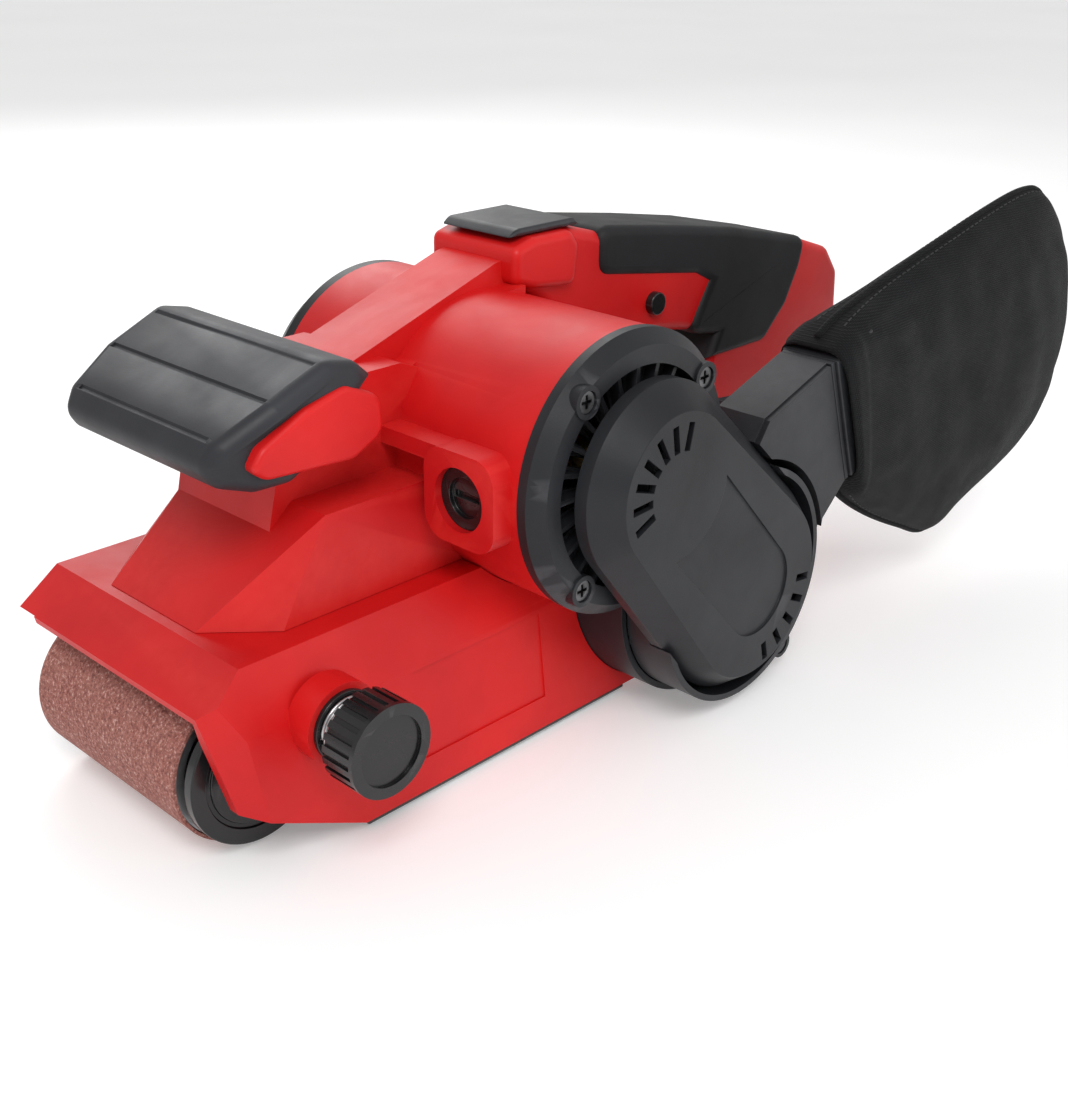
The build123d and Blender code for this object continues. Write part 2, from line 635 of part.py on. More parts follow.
def screw(spot, head_low, head_height, shank_high):
    """Pan-head screw along Y with a cross recess in its near face."""
    shape = rod(spot, SCREW_HEAD - FIT, head_low, head_low + head_height)
    shape += rod(spot, SCREW_SHANK, head_low, shank_high)
    for turn in (0, 90):
        cross = box(-2.2, 2.2, head_low - 1, head_low + 1.2, -0.5, 0.5)
        shape -= Pos(spot[0], 0, spot[1]) * Rot(0, turn, 0) * cross
    return shape


housing_screws = [screw(spot, RING_FRONT, 2.5, RING_BACK + 12) for spot in ring_screws]

# ---------------------------------------------------------------- dust fan and its housing
FAN_RADIUS = 19.5
FAN_LOW = -76.5
FAN_HIGH = -65.0
dust_fan = tube(COUNTER, FAN_RADIUS, SHAFT_RADIUS, FAN_HIGH - 1.6, FAN_HIGH)
dust_fan += tube(COUNTER, 7, SHAFT_RADIUS, FAN_LOW, FAN_HIGH)
for blade in range(9):
    vane = box(6, FAN_RADIUS, FAN_LOW, FAN_HIGH, -0.8, 0.8)
    dust_fan += Pos(COUNTER[0], 0, COUNTER[1]) * Rot(0, 40 * blade, 0) * vane
dust_fan -= rod(COUNTER, SHAFT_RADIUS, FAN_LOW - 1, FAN_HIGH + 1)
save(dust_fan, "dust_fan")

FAN_DRUM = DRUM_RADIUS + 2.5
BARREL_CLEAR = BARREL_RADIUS + 0.6
DUCT_BACK = -76.0
DUCT_FRONT = -97.0
chimney = prism([(106, 78), (119, 98), (138, 96), (135.5, 46), (112, 46)], DUCT_BACK + FIT, FAN_BACK)
chimney_hollow = prism([(108, 78), (120, 95.6), (135.4, 93.6), (133, 48), (100, 48)],
                       DUCT_BACK + FIT - 1, FAN_BACK - THIN_WALL)
def boss_clear(gap):
    """Room round the rear brush boss."""
    return bar((MOTOR_X, BRUSH_Y, MOTOR_Z), (1, 0, 0), BOSS_RADIUS - 1.5 + gap, BOSS_REACH + gap)


fan_housing = rod(COUNTER, FAN_DRUM, FAN_FRONT, FAN_BACK) + chimney
fan_space = rod(COUNTER, FAN_DRUM - THIN_WALL, FAN_FRONT - 1, FAN_BACK - THIN_WALL)
barrel_keep = rod(MOTOR, BARREL_CLEAR + THIN_WALL, -120, 0)
fan_housing -= fan_space - barrel_keep - boss_clear(SOFT + THIN_WALL)
fan_housing -= chimney_hollow - barrel_keep - boss_clear(SOFT + THIN_WALL)
fan_housing -= rod(MOTOR, BARREL_CLEAR, -120, 0)
fan_housing -= boss_clear(SOFT)
fan_housing += rod(REAR, SMALL_BEARING_OUTER + WALL, REAR_SMALL_LOW, FAN_BACK)
fan_housing -= rod(REAR, SMALL_BEARING_OUTER, REAR_SMALL_LOW - 1, REAR_SMALL_LOW + SMALL_BEARING_WIDTH)
fan_housing -= rod(REAR, SHAFT_RADIUS + 1.5, REAR_SMALL_LOW - 1, 0)
fan_housing -= rod(COUNTER, SHAFT_RADIUS + 6, FAN_BACK - THIN_WALL - 1, FAN_BACK + 1)
DUCT_BOSS = polar(COUNTER, 46.0, -50)
fan_housing += rod(DUCT_BOSS, 5, FAN_FRONT, FAN_FRONT + 12) - rod(COUNTER, FAN_DRUM - 1, -120, 0)
fan_housing -= rod(DUCT_BOSS, SCREW_SHANK, FAN_FRONT - 1, FAN_FRONT + 8)
save(fan_housing, "dust_fan_housing")

# ---------------------------------------------------------------- drive cover
COVER_BASE = -88.7
COVER_SHOULDER = -93.5
COVER_UP = 33.0
COVER_LOW = 38.0
COVER_BEVEL = 8.0


def cover_body(inset, face_y, base_y):
    """Stadium-shaped cover with a sloping rim; inset gives the hollow inside."""
    up = COVER_UP - inset
    low = COVER_LOW - inset
    straight = capsule(MOTOR, up, COUNTER, low, COVER_SHOULDER, base_y)
    rim = capsule(MOTOR, up, COUNTER, low, COVER_SHOULDER - 0.001, COVER_SHOULDER)
    face = capsule(MOTOR, up - COVER_BEVEL, COUNTER, low - COVER_BEVEL + 1.5, face_y, face_y + 0.001)
    rim_face = rim.faces().sort_by(Axis.Y)[-1]
    front_face = face.faces().sort_by(Axis.Y)[0]
    return straight + loft([Sketch() + rim_face, Sketch() + front_face], ruled=True)


cover = cover_body(0, -COVER_FACE, COVER_BASE)
cover -= cover_body(THIN_WALL, -COVER_FACE + THIN_WALL, COVER_BASE + 1)
upper_slots = [78 + 21 * n for n in range(7)]
cover -= slots_round(MOTOR, 12.5, 21.5, 2.6, upper_slots, -COVER_FACE - 1, -COVER_FACE + WALL)
lower_slots = [-8 - 17 * n for n in range(5)]
cover -= slots_round(COUNTER, 23.0, 30.0, 2.6, lower_slots, -COVER_FACE - 1, -COVER_FACE + WALL)
drive_line = degrees(atan2(COUNTER[1] - MOTOR_Z, COUNTER[0] - MOTOR_X))
FIELD_DEPTH = 0.8
field = capsule(MOTOR, 16.5, COUNTER, 16.5, -COVER_FACE - 1, -COVER_FACE + FIELD_DEPTH)
field &= rod(COUNTER, 22.0, -COVER_FACE - 1, -COVER_FACE + FIELD_DEPTH) + prism(
    [polar(MOTOR, 24.5, drive_line + 90), polar(MOTOR, 24.5, drive_line - 90),
     polar(COUNTER, 24.5, drive_line - 90), polar(COUNTER, 24.5, drive_line + 90)],
    -COVER_FACE - 1,
    -COVER_FACE + FIELD_DEPTH,
)
field -= rod(MOTOR, 24.0, -120, 0)
cover -= field
save(cover, "drive_cover")

# ---------------------------------------------------------------- pulley housing
RING_CLEAR = RING_RADIUS + 0.5
DRUM_BACK = FAN_FRONT - FIT
DRUM_FLOOR = COVER_BASE + 0.2
ring_clear = rod(MOTOR, RING_CLEAR, -120, 0)
rim_wall = tube(COUNTER, DRUM_RADIUS, DRUM_RADIUS - THIN_WALL, DRUM_FRONT, DRUM_FLOOR) - ring_clear
rim_wall -= capsule(MOTOR, COVER_UP + SOFT, COUNTER, COVER_LOW + SOFT, -120, DRUM_FLOOR)
drum_space = rod(COUNTER, DRUM_RADIUS - THIN_WALL, DRUM_FLOOR - 1, DRUM_BACK - THIN_WALL)
drum_space = drum_space - rod(MOTOR, RING_CLEAR + THIN_WALL, -120, 0) - rod(COUNTER, HUB_RADIUS, -120, 0)
pulley_housing = rod(COUNTER, DRUM_RADIUS, DRUM_FLOOR, DRUM_BACK) - ring_clear - drum_space
pulley_housing -= rod(COUNTER, BEARING_OUTER, -120, COUNTER_BEARING_NEAR + BEARING_WIDTH)
pulley_housing -= rod(COUNTER, SHAFT_RADIUS + 2, -120, 0)
drum_lug = tube(DUCT_BOSS, 5, SCREW_SHANK, DRUM_FRONT + 3, DRUM_BACK)
drum_lug -= rod(DUCT_BOSS, SCREW_HEAD, -120, DRUM_FRONT + 6)
drum_lug -= rod(COUNTER, DRUM_RADIUS - 0.5, -120, 0)
pulley_housing += rim_wall
pulley_housing += drum_lug
save(pulley_housing, "pulley_housing")
housing_screws.append(screw(DUCT_BOSS, DRUM_FRONT + 3.5, 2.5, FAN_FRONT + 8))

# ---------------------------------------------------------------- dust duct and spigot
ALONG = (cos(radians(DUCT_ANGLE)), sin(radians(DUCT_ANGLE)))
MOUTH = (140.5, 93.0)
MOUTH_HALF = 25.0
DUCT_MIDDLE = (DUCT_FRONT + DUCT_BACK) / 2
LID_THICK = 2.0


def duct_point(along, across):
    """Point (x, z) from the duct's mouth, along and square to its axis."""
    return (
        MOUTH[0] + along * ALONG[0] - across * ALONG[1],
        MOUTH[1] + along * ALONG[1] + across * ALONG[0],
    )


def duct_prism(along_low, along_high, half_height, half_width):
    """Block lying along the duct's axis."""
    outline = [
        duct_point(along_low, -half_height),
        duct_point(along_high, -half_height),
        duct_point(along_high, half_height),
        duct_point(along_low, half_height),
    ]
    return prism(outline, DUCT_MIDDLE - half_width, DUCT_MIDDLE + half_width)


duct_outline = [(84, 86), (97.5, 105), duct_point(0, MOUTH_HALF), duct_point(0, -MOUTH_HALF), (136.5, 58),
                (135.2, 46), (120, 46)]
inner_outline = [(89, 87), (99.2, 102.4), duct_point(1, MOUTH_HALF - THIN_WALL),
                 duct_point(1, -MOUTH_HALF + THIN_WALL), (133.5, 60), (132, 47), (118, 48)]
drum_clear = rod(COUNTER, FAN_DRUM + FIT, -120, 0) + rod(MOTOR, RING_CLEAR + FIT, -120, 0)
drum_clear += capsule(MOTOR, COVER_UP + SOFT, COUNTER, COVER_LOW + SOFT, -120, COVER_BASE + 1)
duct = prism(duct_outline, DUCT_FRONT + LID_THICK, DUCT_BACK) - drum_clear
inner_clear = rod(COUNTER, FAN_DRUM + FIT + THIN_WALL, -120, 0) + rod(MOTOR, RING_CLEAR + THIN_WALL, -120, 0)
inner_clear += capsule(
    MOTOR, COVER_UP + SOFT + THIN_WALL, COUNTER, COVER_LOW + SOFT + THIN_WALL, -120, COVER_BASE + 1 + THIN_WALL
)
duct -= prism(inner_outline, DUCT_FRONT, DUCT_BACK - THIN_WALL) - inner_clear
duct -= prism([(118, 70), (122, 90), (132, 88), (131.5, 62)], DUCT_BACK - THIN_WALL - 1, DUCT_BACK + 1)
SPIGOT_HALF_WIDTH = 8.3
SPIGOT_HALF_HEIGHT = 21.5
SPIGOT_LENGTH = 26.0
MOUTH_PLATE = 2.0
spigot = duct_prism(0, MOUTH_PLATE, MOUTH_HALF, -DUCT_FRONT + DUCT_MIDDLE)
spigot += duct_prism(0, SPIGOT_LENGTH, SPIGOT_HALF_HEIGHT, SPIGOT_HALF_WIDTH)
spigot -= duct_prism(-1, SPIGOT_LENGTH + 1, SPIGOT_HALF_HEIGHT - 1.8, SPIGOT_HALF_WIDTH - 1.8)
save(spigot, "dust_spigot")
duct += prism(shrink(duct_outline, 0.6), DUCT_FRONT, DUCT_FRONT + LID_THICK) - drum_clear
save(duct, "dust_duct")

# ---------------------------------------------------------------- dust bag and its collar
COLLAR_START = MOUTH_PLATE + 0.3
COLLAR_LENGTH = 22.0
collar = duct_prism(COLLAR_START, COLLAR_START + COLLAR_LENGTH, SPIGOT_HALF_HEIGHT + 3.2, SPIGOT_HALF_WIDTH + 3.2)
collar -= duct_prism(COLLAR_START - 1, 60, SPIGOT_HALF_HEIGHT + RUN, SPIGOT_HALF_WIDTH + RUN)
save(collar, "bag_collar")
BAG_CLOTH = 1.6
BAG_HALF = 17.0
BAG_EDGE = 9.0
BAG_START = COLLAR_START + 1.0
neck_half = SPIGOT_HALF_HEIGHT + 3.2 + BAG_CLOTH
bag_outline = [
    duct_point(BAG_START, -neck_half),
    duct_point(BAG_START, neck_half),
    duct_point(24, neck_half + 2),
    (216, 145),
    (280, 156.5),
    (303, 148),
    (321, 122),
    (327, 74),
    (318, 48),
    (298, 37),
    (252, 28),
    (231, 21),
    (205, 32),
    duct_point(26, -neck_half - 2),
]


def bag_body(inset):
    """Flat pouch in two steps; inset gives the hollow inside."""
    middle = DUCT_MIDDLE
    half = BAG_HALF - inset
    body = prism(shrink(bag_outline, inset), middle - half + BAG_EDGE, middle + half - BAG_EDGE)
    return body + prism(shrink(bag_outline, inset + BAG_EDGE * 0.35), middle - half, middle + half)


bag = bag_body(0) - bag_body(BAG_CLOTH)
bag -= duct_prism(-20, COLLAR_START + COLLAR_LENGTH + 1, SPIGOT_HALF_HEIGHT + 3.2, SPIGOT_HALF_WIDTH + 3.2)
save(bag, "dust_bag")

# ---------------------------------------------------------------- belt hood
KNOB = (KNOB_X, KNOB_Z)
BUSH_OUTER = 11.0
KNOB_SHAFT = 3.0
hood = prism_x([(HOOD_HALF, PANEL_BOTTOM), (HOOD_HALF, HOOD_TOP), (-HOOD_HALF, HOOD_TOP), (-57.5, 46),
                (-PANEL_FLARE, PANEL_BOTTOM)], -100, HOOD_REAR)
hood &= prism([(-97.1, 53.8), (-82.4, HOOD_TOP), (HOOD_REAR, HOOD_TOP), (HOOD_REAR, PANEL_BOTTOM),
               (-50, PANEL_BOTTOM), (-90, 22)], -70, 60)
hood &= prism_z([(-98, 55), (-98, -47.6), (-84, -60), (-80, -63.5), (120, -63.5), (120, 55)], 0, 80)
hood_space = prism_x([(46.4, 0), (46.4, 61.4), (-47.5, 61.4), (-54.6, 46.5), (-59.4, 0)], -120, 104)
hood_space &= prism([(-120, -10), (-120, 51.4), (-95.3, 51.4), (-81.5, 61.4), (104, 61.4), (104, -10)], -70, 60)
hood_space &= prism_z([(-119, 60), (-119, -46.2), (-95.1, -46.2), (-82, -57.8), (-76, -63.1), (119, -63.1),
                       (119, 60)], -20, 80)
hood -= hood_space
hood -= box(-120, 104, 40, 60, 0, 54)
hood -= box(103, 120, -70, 60, 0, 20)
hood -= box(COUNTER[0], 120, -70, FRAME_NEAR, 0, 60)
hood += rod(KNOB, BUSH_OUTER + 2, -66, -56)
hood -= rod(KNOB, BUSH_OUTER, -67, -58)
hood -= rod(KNOB, KNOB_SHAFT + 0.6, -60, -50)
hood -= rod(COUNTER, FAN_DRUM + SOFT, -80, GEARCASE_NEAR)
hood -= rod(MOTOR, BARREL_RADIUS + SOFT, -80, 51)
hood -= rod(REAR, 23.0 + SOFT, GEARCASE_NEAR - 0.4, FRAME_FAR)
hood -= rod(COUNTER, HUB_RADIUS + SOFT, GEARCASE_NEAR - 0.4, FRAME_FAR)
hood -= prism_x([(-57.1, 44), (-60.5, 14), (-66, 14), (-66, 44)], -26, 30)
save(hood, "belt_hood")
save(box(-49, 70, -62, FRAME_NEAR - FIT, 1.6, PANEL_BOTTOM - FIT), "base_rail")

# ---------------------------------------------------------------- base frame and platen
TONGUE_HALF_Y = 9.0
TONGUE_LOW = 20.0
TONGUE_HIGH = 31.6
LEVER = (14.0, AXLE_Z)
LEVER_PIN = 3.0
frame = box(-24, 104, FRAME_NEAR, FRAME_FAR, 5, 49.5) + rod(COUNTER, HUB_RADIUS, FRAME_NEAR, FRAME_FAR)
frame += rod(REAR, 23.0, GEARCASE_NEAR, FRAME_NEAR) + rod(COUNTER, HUB_RADIUS, GEARCASE_NEAR, FRAME_NEAR)
frame -= rod(REAR, 20.6, GEARCASE_NEAR - 1, FRAME_NEAR) + rod(COUNTER, BEARING_OUTER, GEARCASE_NEAR - 1, FRAME_NEAR)
frame -= rod(MOTOR, BARREL_RADIUS + 0.6, -80, 60)
for centre in (REAR, COUNTER):
    frame -= rod(centre, BEARING_OUTER, FRAME_NEAR - 1, FRAME_FAR + 1)
frame += box(14, 44, FRAME_FAR, 34, 8, 42)
frame -= box(18, 40, -36, 35, 12, 38)
frame += box(-31, 14, -TONGUE_HALF_Y, TONGUE_HALF_Y, TONGUE_LOW, TONGUE_HIGH)
frame += box(-46, 50, FRAME_FAR, 36, 4.2, 8)
frame += rod(LEVER, 7, 24, 34)
frame -= rod(LEVER, LEVER_PIN, 28, 36)
save(frame, "base_frame")
save(box(-48, 48, -36, 36, 2.6, 4.2), "platen_plate")
save(box(-48, 48, -36, 36, 1.3, 2.6), "platen_pad")

# ---------------------------------------------------------------- belt tension: slider, spring and lever
PIVOT_X = -45.0
slider = box(-40.3, -18, -15, 15, 14.5, 37)
slider -= box(-39.1, -17, -TONGUE_HALF_Y - RUN, TONGUE_HALF_Y + RUN, TONGUE_LOW - RUN, TONGUE_HIGH + RUN)
slider += box(-48.6, -40, -7.8, 7.8, 21.2, 30.4)
slider += bar((PIVOT_X, 0, 14.2), (0, 0, 1), 3.0, 23.2)
save(slider, "fork_slider")
spring = bar((-18, 0, AXLE_Z), (1, 0, 0), 13, 32) - bar((-19, 0, AXLE_Z), (1, 0, 0), 11, 34)
save(spring, "tension_spring")
LEVER_ARM = 32.0
lever_tip = (LEVER[0] - LEVER_ARM, LEVER[1])
lever = capsule(LEVER, 8, lever_tip, 5.5, 38.6, 41.6)
lever += box(lever_tip[0] - 5, lever_tip[0] + 6, 41.6, 45.5, LEVER[1] - 3, LEVER[1] + 3)
lever -= rod(LEVER, LEVER_PIN + RUN, 38, 42)
save(lever, "tension_lever")
lever_pin = rod(LEVER, LEVER_PIN, 28, 41.5)

# ---------------------------------------------------------------- steering fork, front axle and guard
ARM_IN = 38.7
ARM_OUT = 41.0
PIVOT = (PIVOT_X, AXLE_Z)
yoke = box(-49, -41, -ARM_OUT, ARM_OUT, 16, 36)
yoke -= box(-50, -40, -10, 10, 21, 30.6)
yoke -= bar((PIVOT_X, 0, 10), (0, 0, 1), 3.0 + RUN, 30)
for y_low, y_high in ((-ARM_OUT, -ARM_IN), (ARM_IN, ARM_OUT)):
    yoke += capsule(FRONT, 10, PIVOT, 10.2, y_low, y_high)
yoke -= rod(FRONT, AXLE_RADIUS, -50, 50)
yoke += box(-55.7, -51, -ARM_OUT, -38.9, 30, 50)
save(yoke, "roller_yoke")
save(rod(FRONT, AXLE_RADIUS, -ARM_OUT, ARM_OUT), "front_axle")
GUARD_NEAR = -44.6
guard = capsule(FRONT, 24.2, (-50, 22), 11, GUARD_NEAR, -ARM_OUT)
guard -= tube(FRONT, 19.0, 17.4, GUARD_NEAR - 1, GUARD_NEAR + 0.8)
guard -= box(-74, -47, GUARD_NEAR - 1, -ARM_OUT + 1, 39.2, 60)
save(guard, "roller_guard")

# ---------------------------------------------------------------- belt tracking knob
KNOB_NEAR = -87.0
KNOB_FAR = -74.0
BUSH_NEAR = -67.5
ECCENTRIC = 1.1
shaft_end = -42.3
tracking_shaft = rod(KNOB, KNOB_SHAFT, -82, shaft_end)
tracking_shaft += rod((KNOB_X, KNOB_Z + ECCENTRIC), 3.5, shaft_end, -39)
save(tracking_shaft, "tracking_shaft")
knob = rod(KNOB, KNOB_RADIUS, KNOB_NEAR, KNOB_FAR)
knob -= slots_round(
    KNOB, KNOB_RADIUS - 0.9, KNOB_RADIUS + 1, 1.6, range(0, 360, 15), KNOB_NEAR + 1.5, KNOB_FAR + 1
)
knob -= rod(KNOB, KNOB_RADIUS - 3.5, KNOB_NEAR - 1, KNOB_NEAR + 1.0)
knob -= rod(KNOB, KNOB_SHAFT, -82, KNOB_FAR + 1)
save(knob, "tracking_knob")
save(tube(KNOB, 10, 8.6, KNOB_FAR + FIT, BUSH_NEAR), "tracking_spring")
save(tube(KNOB, BUSH_OUTER, KNOB_SHAFT + RUN, BUSH_NEAR, -58), "tracking_bush")

# ---------------------------------------------------------------- rear handle
SHELL_WALL = 2.8
handle_outline = [(52, 148), (56, 156), (66, 157.5), (86, 157.5), (97, 156.5), (106, 152.6), (144, 148.2), (181, 142.1),
                  (236, 130.0), (253, 125), (265, 114), (267, 95), (263, 79), (249, 61), (200, 46), (150, 38),
                  (107.5, 34), (107.5, 66), (92, 66)]
opening_outline = [(84, 112), (137, 110.5), (175, 103.5), (170, 92), (162, 76), (150, 68), (92, 68)]
EDGE = 3.5


def rounded_prism(outline, half, edge):
    """Outline extruded both ways from y = 0 with its long edges stepped back."""
    return prism(outline, edge - half, half - edge) + prism(shrink(outline, edge * 0.5), -half, half)


crest = prism([(55, 151.2), (56, 156), (66, 157.5), (84, 157.5), (84, 140), (60, 140), (60, 151.2)], -CREST_HALF,
              CREST_HALF)
handle = rounded_prism(handle_outline, HANDLE_HALF, EDGE) + crest
handle -= prism(opening_outline, -30, 30)
handle -= rod(MOTOR, BARREL_RADIUS + SOFT, -100, 60)
handle -= box(20, 59.7, -30, 30, 60, 151.2)
handle_space = prism(shrink(handle_outline, SHELL_WALL), SHELL_WALL - HANDLE_HALF, HANDLE_HALF - SHELL_WALL)
handle_space -= prism(shrink(opening_outline, -SHELL_WALL), -30, 30)
handle_space -= rod(MOTOR, BARREL_RADIUS + SOFT + SHELL_WALL, -100, 60)
handle_space -= box(20, 62.5, -30, 30, 60, 200)

handle_spots = [(124, 52), (196, 60), (256, 104), (74, 151)]
HANDLE_HEAD = -13.5
shell = handle - handle_space
for spot in handle_spots:
    shell += rod(spot, SCREW_BOSS, SHELL_WALL - HANDLE_HALF - 0.5, HANDLE_HALF - SHELL_WALL + 0.5)
    shell -= rod(spot, SCREW_HEAD, -30, HANDLE_HEAD + 2.5)
    shell -= rod(spot, SCREW_SHANK, HANDLE_HEAD, 10)
BUTTON = (133.0, 122.6)
BUTTON_RADIUS = 4.3
TRIGGER_PIVOT = (107.0, 114.0)
TRIGGER_PIN = 1.5
PIN_HALF = HANDLE_HALF - SHELL_WALL
shell -= rod(BUTTON, BUTTON_RADIUS + RUN, -20, -10)
shell -= box(103.5, 140, -7.8, 7.8, 104, 118)
shell -= rod(TRIGGER_PIVOT, TRIGGER_PIN, -PIN_HALF, PIN_HALF)
INLET = (256.0, 0.0, 70.0)
inlet_way = (cos(radians(-45)), 0, sin(radians(-45)))
inlet_start = (INLET[0] - 6 * inlet_way[0], 0, INLET[2] - 6 * inlet_way[2])
shell -= bar(inlet_start, inlet_way, 8, 20)
save(shell & box(0, 300, -40, 0, 0, 200), "handle_shell_near")
save(shell & box(0, 300, 0, 40, 0, 200), "handle_shell_far")
housing_screws += [screw(spot, HANDLE_HEAD, 2.5, 10) for spot in handle_spots]
save(Part() + housing_screws, "housing_screws")
inlet = bar(inlet_start, inlet_way, 8, 15) - bar(inlet_start, inlet_way, 4.5, 15)
save(inlet, "cord_inlet")
pad_half = CREST_HALF - 4
save(prism([(57, 157.7), (61, 160.4), (89, 160.4), (92, 157.7)], -pad_half, pad_half), "crest_pad")

sleeve = rounded_prism(shrink(handle_outline, -GRIP_SKIN), HANDLE_HALF + GRIP_SKIN, EDGE)
sleeve -= prism(shrink(opening_outline, GRIP_SKIN), -30, 30)
sleeve &= prism([(101, 175), (225, 175), (236, 145), (230, 124), (222, 106), (205, 92), (152, 92), (156, 108),
                 (166, 125), (160, 129), (101, 138)], -30, 30)
sleeve -= handle
sleeve -= handle_space
save(sleeve, "handle_sleeve")

# ---------------------------------------------------------------- switch, trigger and lock button
switch_body = box(110, 150, -14, 14, 122, 143) - rod(BUTTON, 5.5, -15, -10.6)
save(switch_body, "switch_body")
lock_button = rod(BUTTON, BUTTON_RADIUS, -20, -14.1)
save(lock_button, "lock_button")
trigger = prism([(105, 117), (105, 104), (118, 97), (133, 99), (138, 106), (138, 117)], -7, 7)
trigger -= rod(TRIGGER_PIVOT, TRIGGER_PIN + RUN, -8, 8)
save(trigger, "trigger")
save(lever_pin + rod(TRIGGER_PIVOT, TRIGGER_PIN, -PIN_HALF, PIN_HALF), "pivot_pins")

# ---------------------------------------------------------------- front grip
core_outline = [(-24, 130), (-36, 136), (-50, 133), (-66, 124.5), (-71, 118.5), (-66, 114), (-52, 116), (-44, 118),
                (-34, 110), (-22, 118)]
cover_outline = [(-24.4, 135.8), (-30, 141), (-40, 143), (-59.7, 134.5), (-76, 125.5), (-80.5, 119), (-76, 112.5),
                 (-66, 109.5), (-55, 110), (-47.5, 114.5)]
neck_clear = prism(shrink(NECK, -FIT), -24 - FIT, 24 + FIT)
grip_core = prism(core_outline, -GRIP_HALF, GRIP_HALF) - neck_clear
save(grip_core, "front_grip_core")
cover_end = GRIP_HALF + 1.5
grip_cover = prism(cover_outline, -cover_end, cover_end) - prism(core_outline, -GRIP_HALF, GRIP_HALF) - neck_clear
save(grip_cover, "front_grip_cover")
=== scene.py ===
import json
from math import cos, pi, radians, sin

import bmesh
import bpy
from mathutils import Matrix, Vector, noise

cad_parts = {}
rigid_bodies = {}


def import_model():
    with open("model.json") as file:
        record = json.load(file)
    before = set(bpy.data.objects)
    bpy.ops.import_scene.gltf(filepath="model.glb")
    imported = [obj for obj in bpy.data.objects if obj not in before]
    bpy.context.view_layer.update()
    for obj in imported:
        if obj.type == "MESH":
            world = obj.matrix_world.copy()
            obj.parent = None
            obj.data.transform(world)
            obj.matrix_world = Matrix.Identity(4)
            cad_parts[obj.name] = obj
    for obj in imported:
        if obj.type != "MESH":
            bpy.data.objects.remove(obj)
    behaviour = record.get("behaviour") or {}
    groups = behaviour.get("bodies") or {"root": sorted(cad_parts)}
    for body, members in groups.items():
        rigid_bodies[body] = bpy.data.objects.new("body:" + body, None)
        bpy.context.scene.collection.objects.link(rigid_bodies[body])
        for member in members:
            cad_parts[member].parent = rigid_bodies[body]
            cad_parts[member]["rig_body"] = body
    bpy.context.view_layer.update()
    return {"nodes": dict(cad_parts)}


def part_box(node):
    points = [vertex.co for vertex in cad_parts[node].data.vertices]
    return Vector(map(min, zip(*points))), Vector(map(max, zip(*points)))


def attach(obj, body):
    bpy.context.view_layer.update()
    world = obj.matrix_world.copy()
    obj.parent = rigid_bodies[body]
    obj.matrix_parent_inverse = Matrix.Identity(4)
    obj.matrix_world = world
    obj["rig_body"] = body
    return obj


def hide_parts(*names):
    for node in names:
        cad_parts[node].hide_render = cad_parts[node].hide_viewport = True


# ---------------------------------------------------------------- the assembled frame
# Every rigid part of the sander is already in place in its own frame, in metres: nose
# towards -X, drive side towards -Y, the work surface at z = 0.
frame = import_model()
MM = 0.001

# ---------------------------------------------------------------- red moulded housings
# Hood, motor housing and handle are glass-filled nylon, injection moulded in a satin
# red. Tool edges leave a small radius everywhere and the texture is a fine spark finish.
RED = (0.66, 0.010, 0.010, 1)
RED_DEEP = (0.52, 0.006, 0.008, 1)
RED_WORN = (0.72, 0.045, 0.035, 1)


def start_material(name):
    """New node material, with its tree, its shader and an Object coordinate source."""
    material = bpy.data.materials.new(name)
    material.use_nodes = True
    tree = material.node_tree
    shader = tree.nodes["Principled BSDF"]
    place = tree.nodes.new("ShaderNodeTexCoord").outputs["Object"]
    return material, tree, shader, place


def noise_node(tree, place, scale, detail=3.0, roughness=0.55, distortion=0.0):
    """Noise pattern; the scale is in features per metre."""
    node = tree.nodes.new("ShaderNodeTexNoise")
    node.inputs["Scale"].default_value = scale
    node.inputs["Detail"].default_value = detail
    node.inputs["Roughness"].default_value = roughness
    node.inputs["Distortion"].default_value = distortion
    tree.links.new(place, node.inputs["Vector"])
    return node.outputs["Fac"]


def ramp_node(tree, value, stops):
    """Colour ramp from (position, colour) stops."""
    node = tree.nodes.new("ShaderNodeValToRGB")
    elements = node.color_ramp.elements
    for index, (position, colour) in enumerate(stops):
        element = elements[index] if index < 2 else elements.new(position)
        element.position = position
        element.color = colour
    tree.links.new(value, node.inputs["Fac"])
    return node.outputs["Color"]


def span_node(tree, value, low, high, from_low=0.3, from_high=0.7):
    """Value stretched to the span from low to high."""
    node = tree.nodes.new("ShaderNodeMapRange")
    node.inputs["From Min"].default_value = from_low
    node.inputs["From Max"].default_value = from_high
    node.inputs["To Min"].default_value = low
    node.inputs["To Max"].default_value = high
    tree.links.new(value, node.inputs["Value"])
    return node.outputs["Result"]


def mix_node(tree, factor, first, second):
    """Mix of two colours; each is a socket or a constant."""
    node = tree.nodes.new("ShaderNodeMix")
    node.data_type = "RGBA"
    tree.links.new(factor, node.inputs["Factor"])
    for socket, colour in ((node.inputs[6], first), (node.inputs[7], second)):
        if isinstance(colour, tuple):
            socket.default_value = colour
        else:
            tree.links.new(colour, socket)
    return node.outputs[2]


def bump_node(tree, shader, height, depth, strength=1.0, before=None):
    """Bump of the given depth in metres, after another bump if there is one."""
    node = tree.nodes.new("ShaderNodeBump")
    node.inputs["Distance"].default_value = depth
    node.inputs["Strength"].default_value = strength
    tree.links.new(height, node.inputs["Height"])
    if before:
        tree.links.new(before, node.inputs["Normal"])
    tree.links.new(node.outputs["Normal"], shader.inputs["Normal"])
    return node.outputs["Normal"]


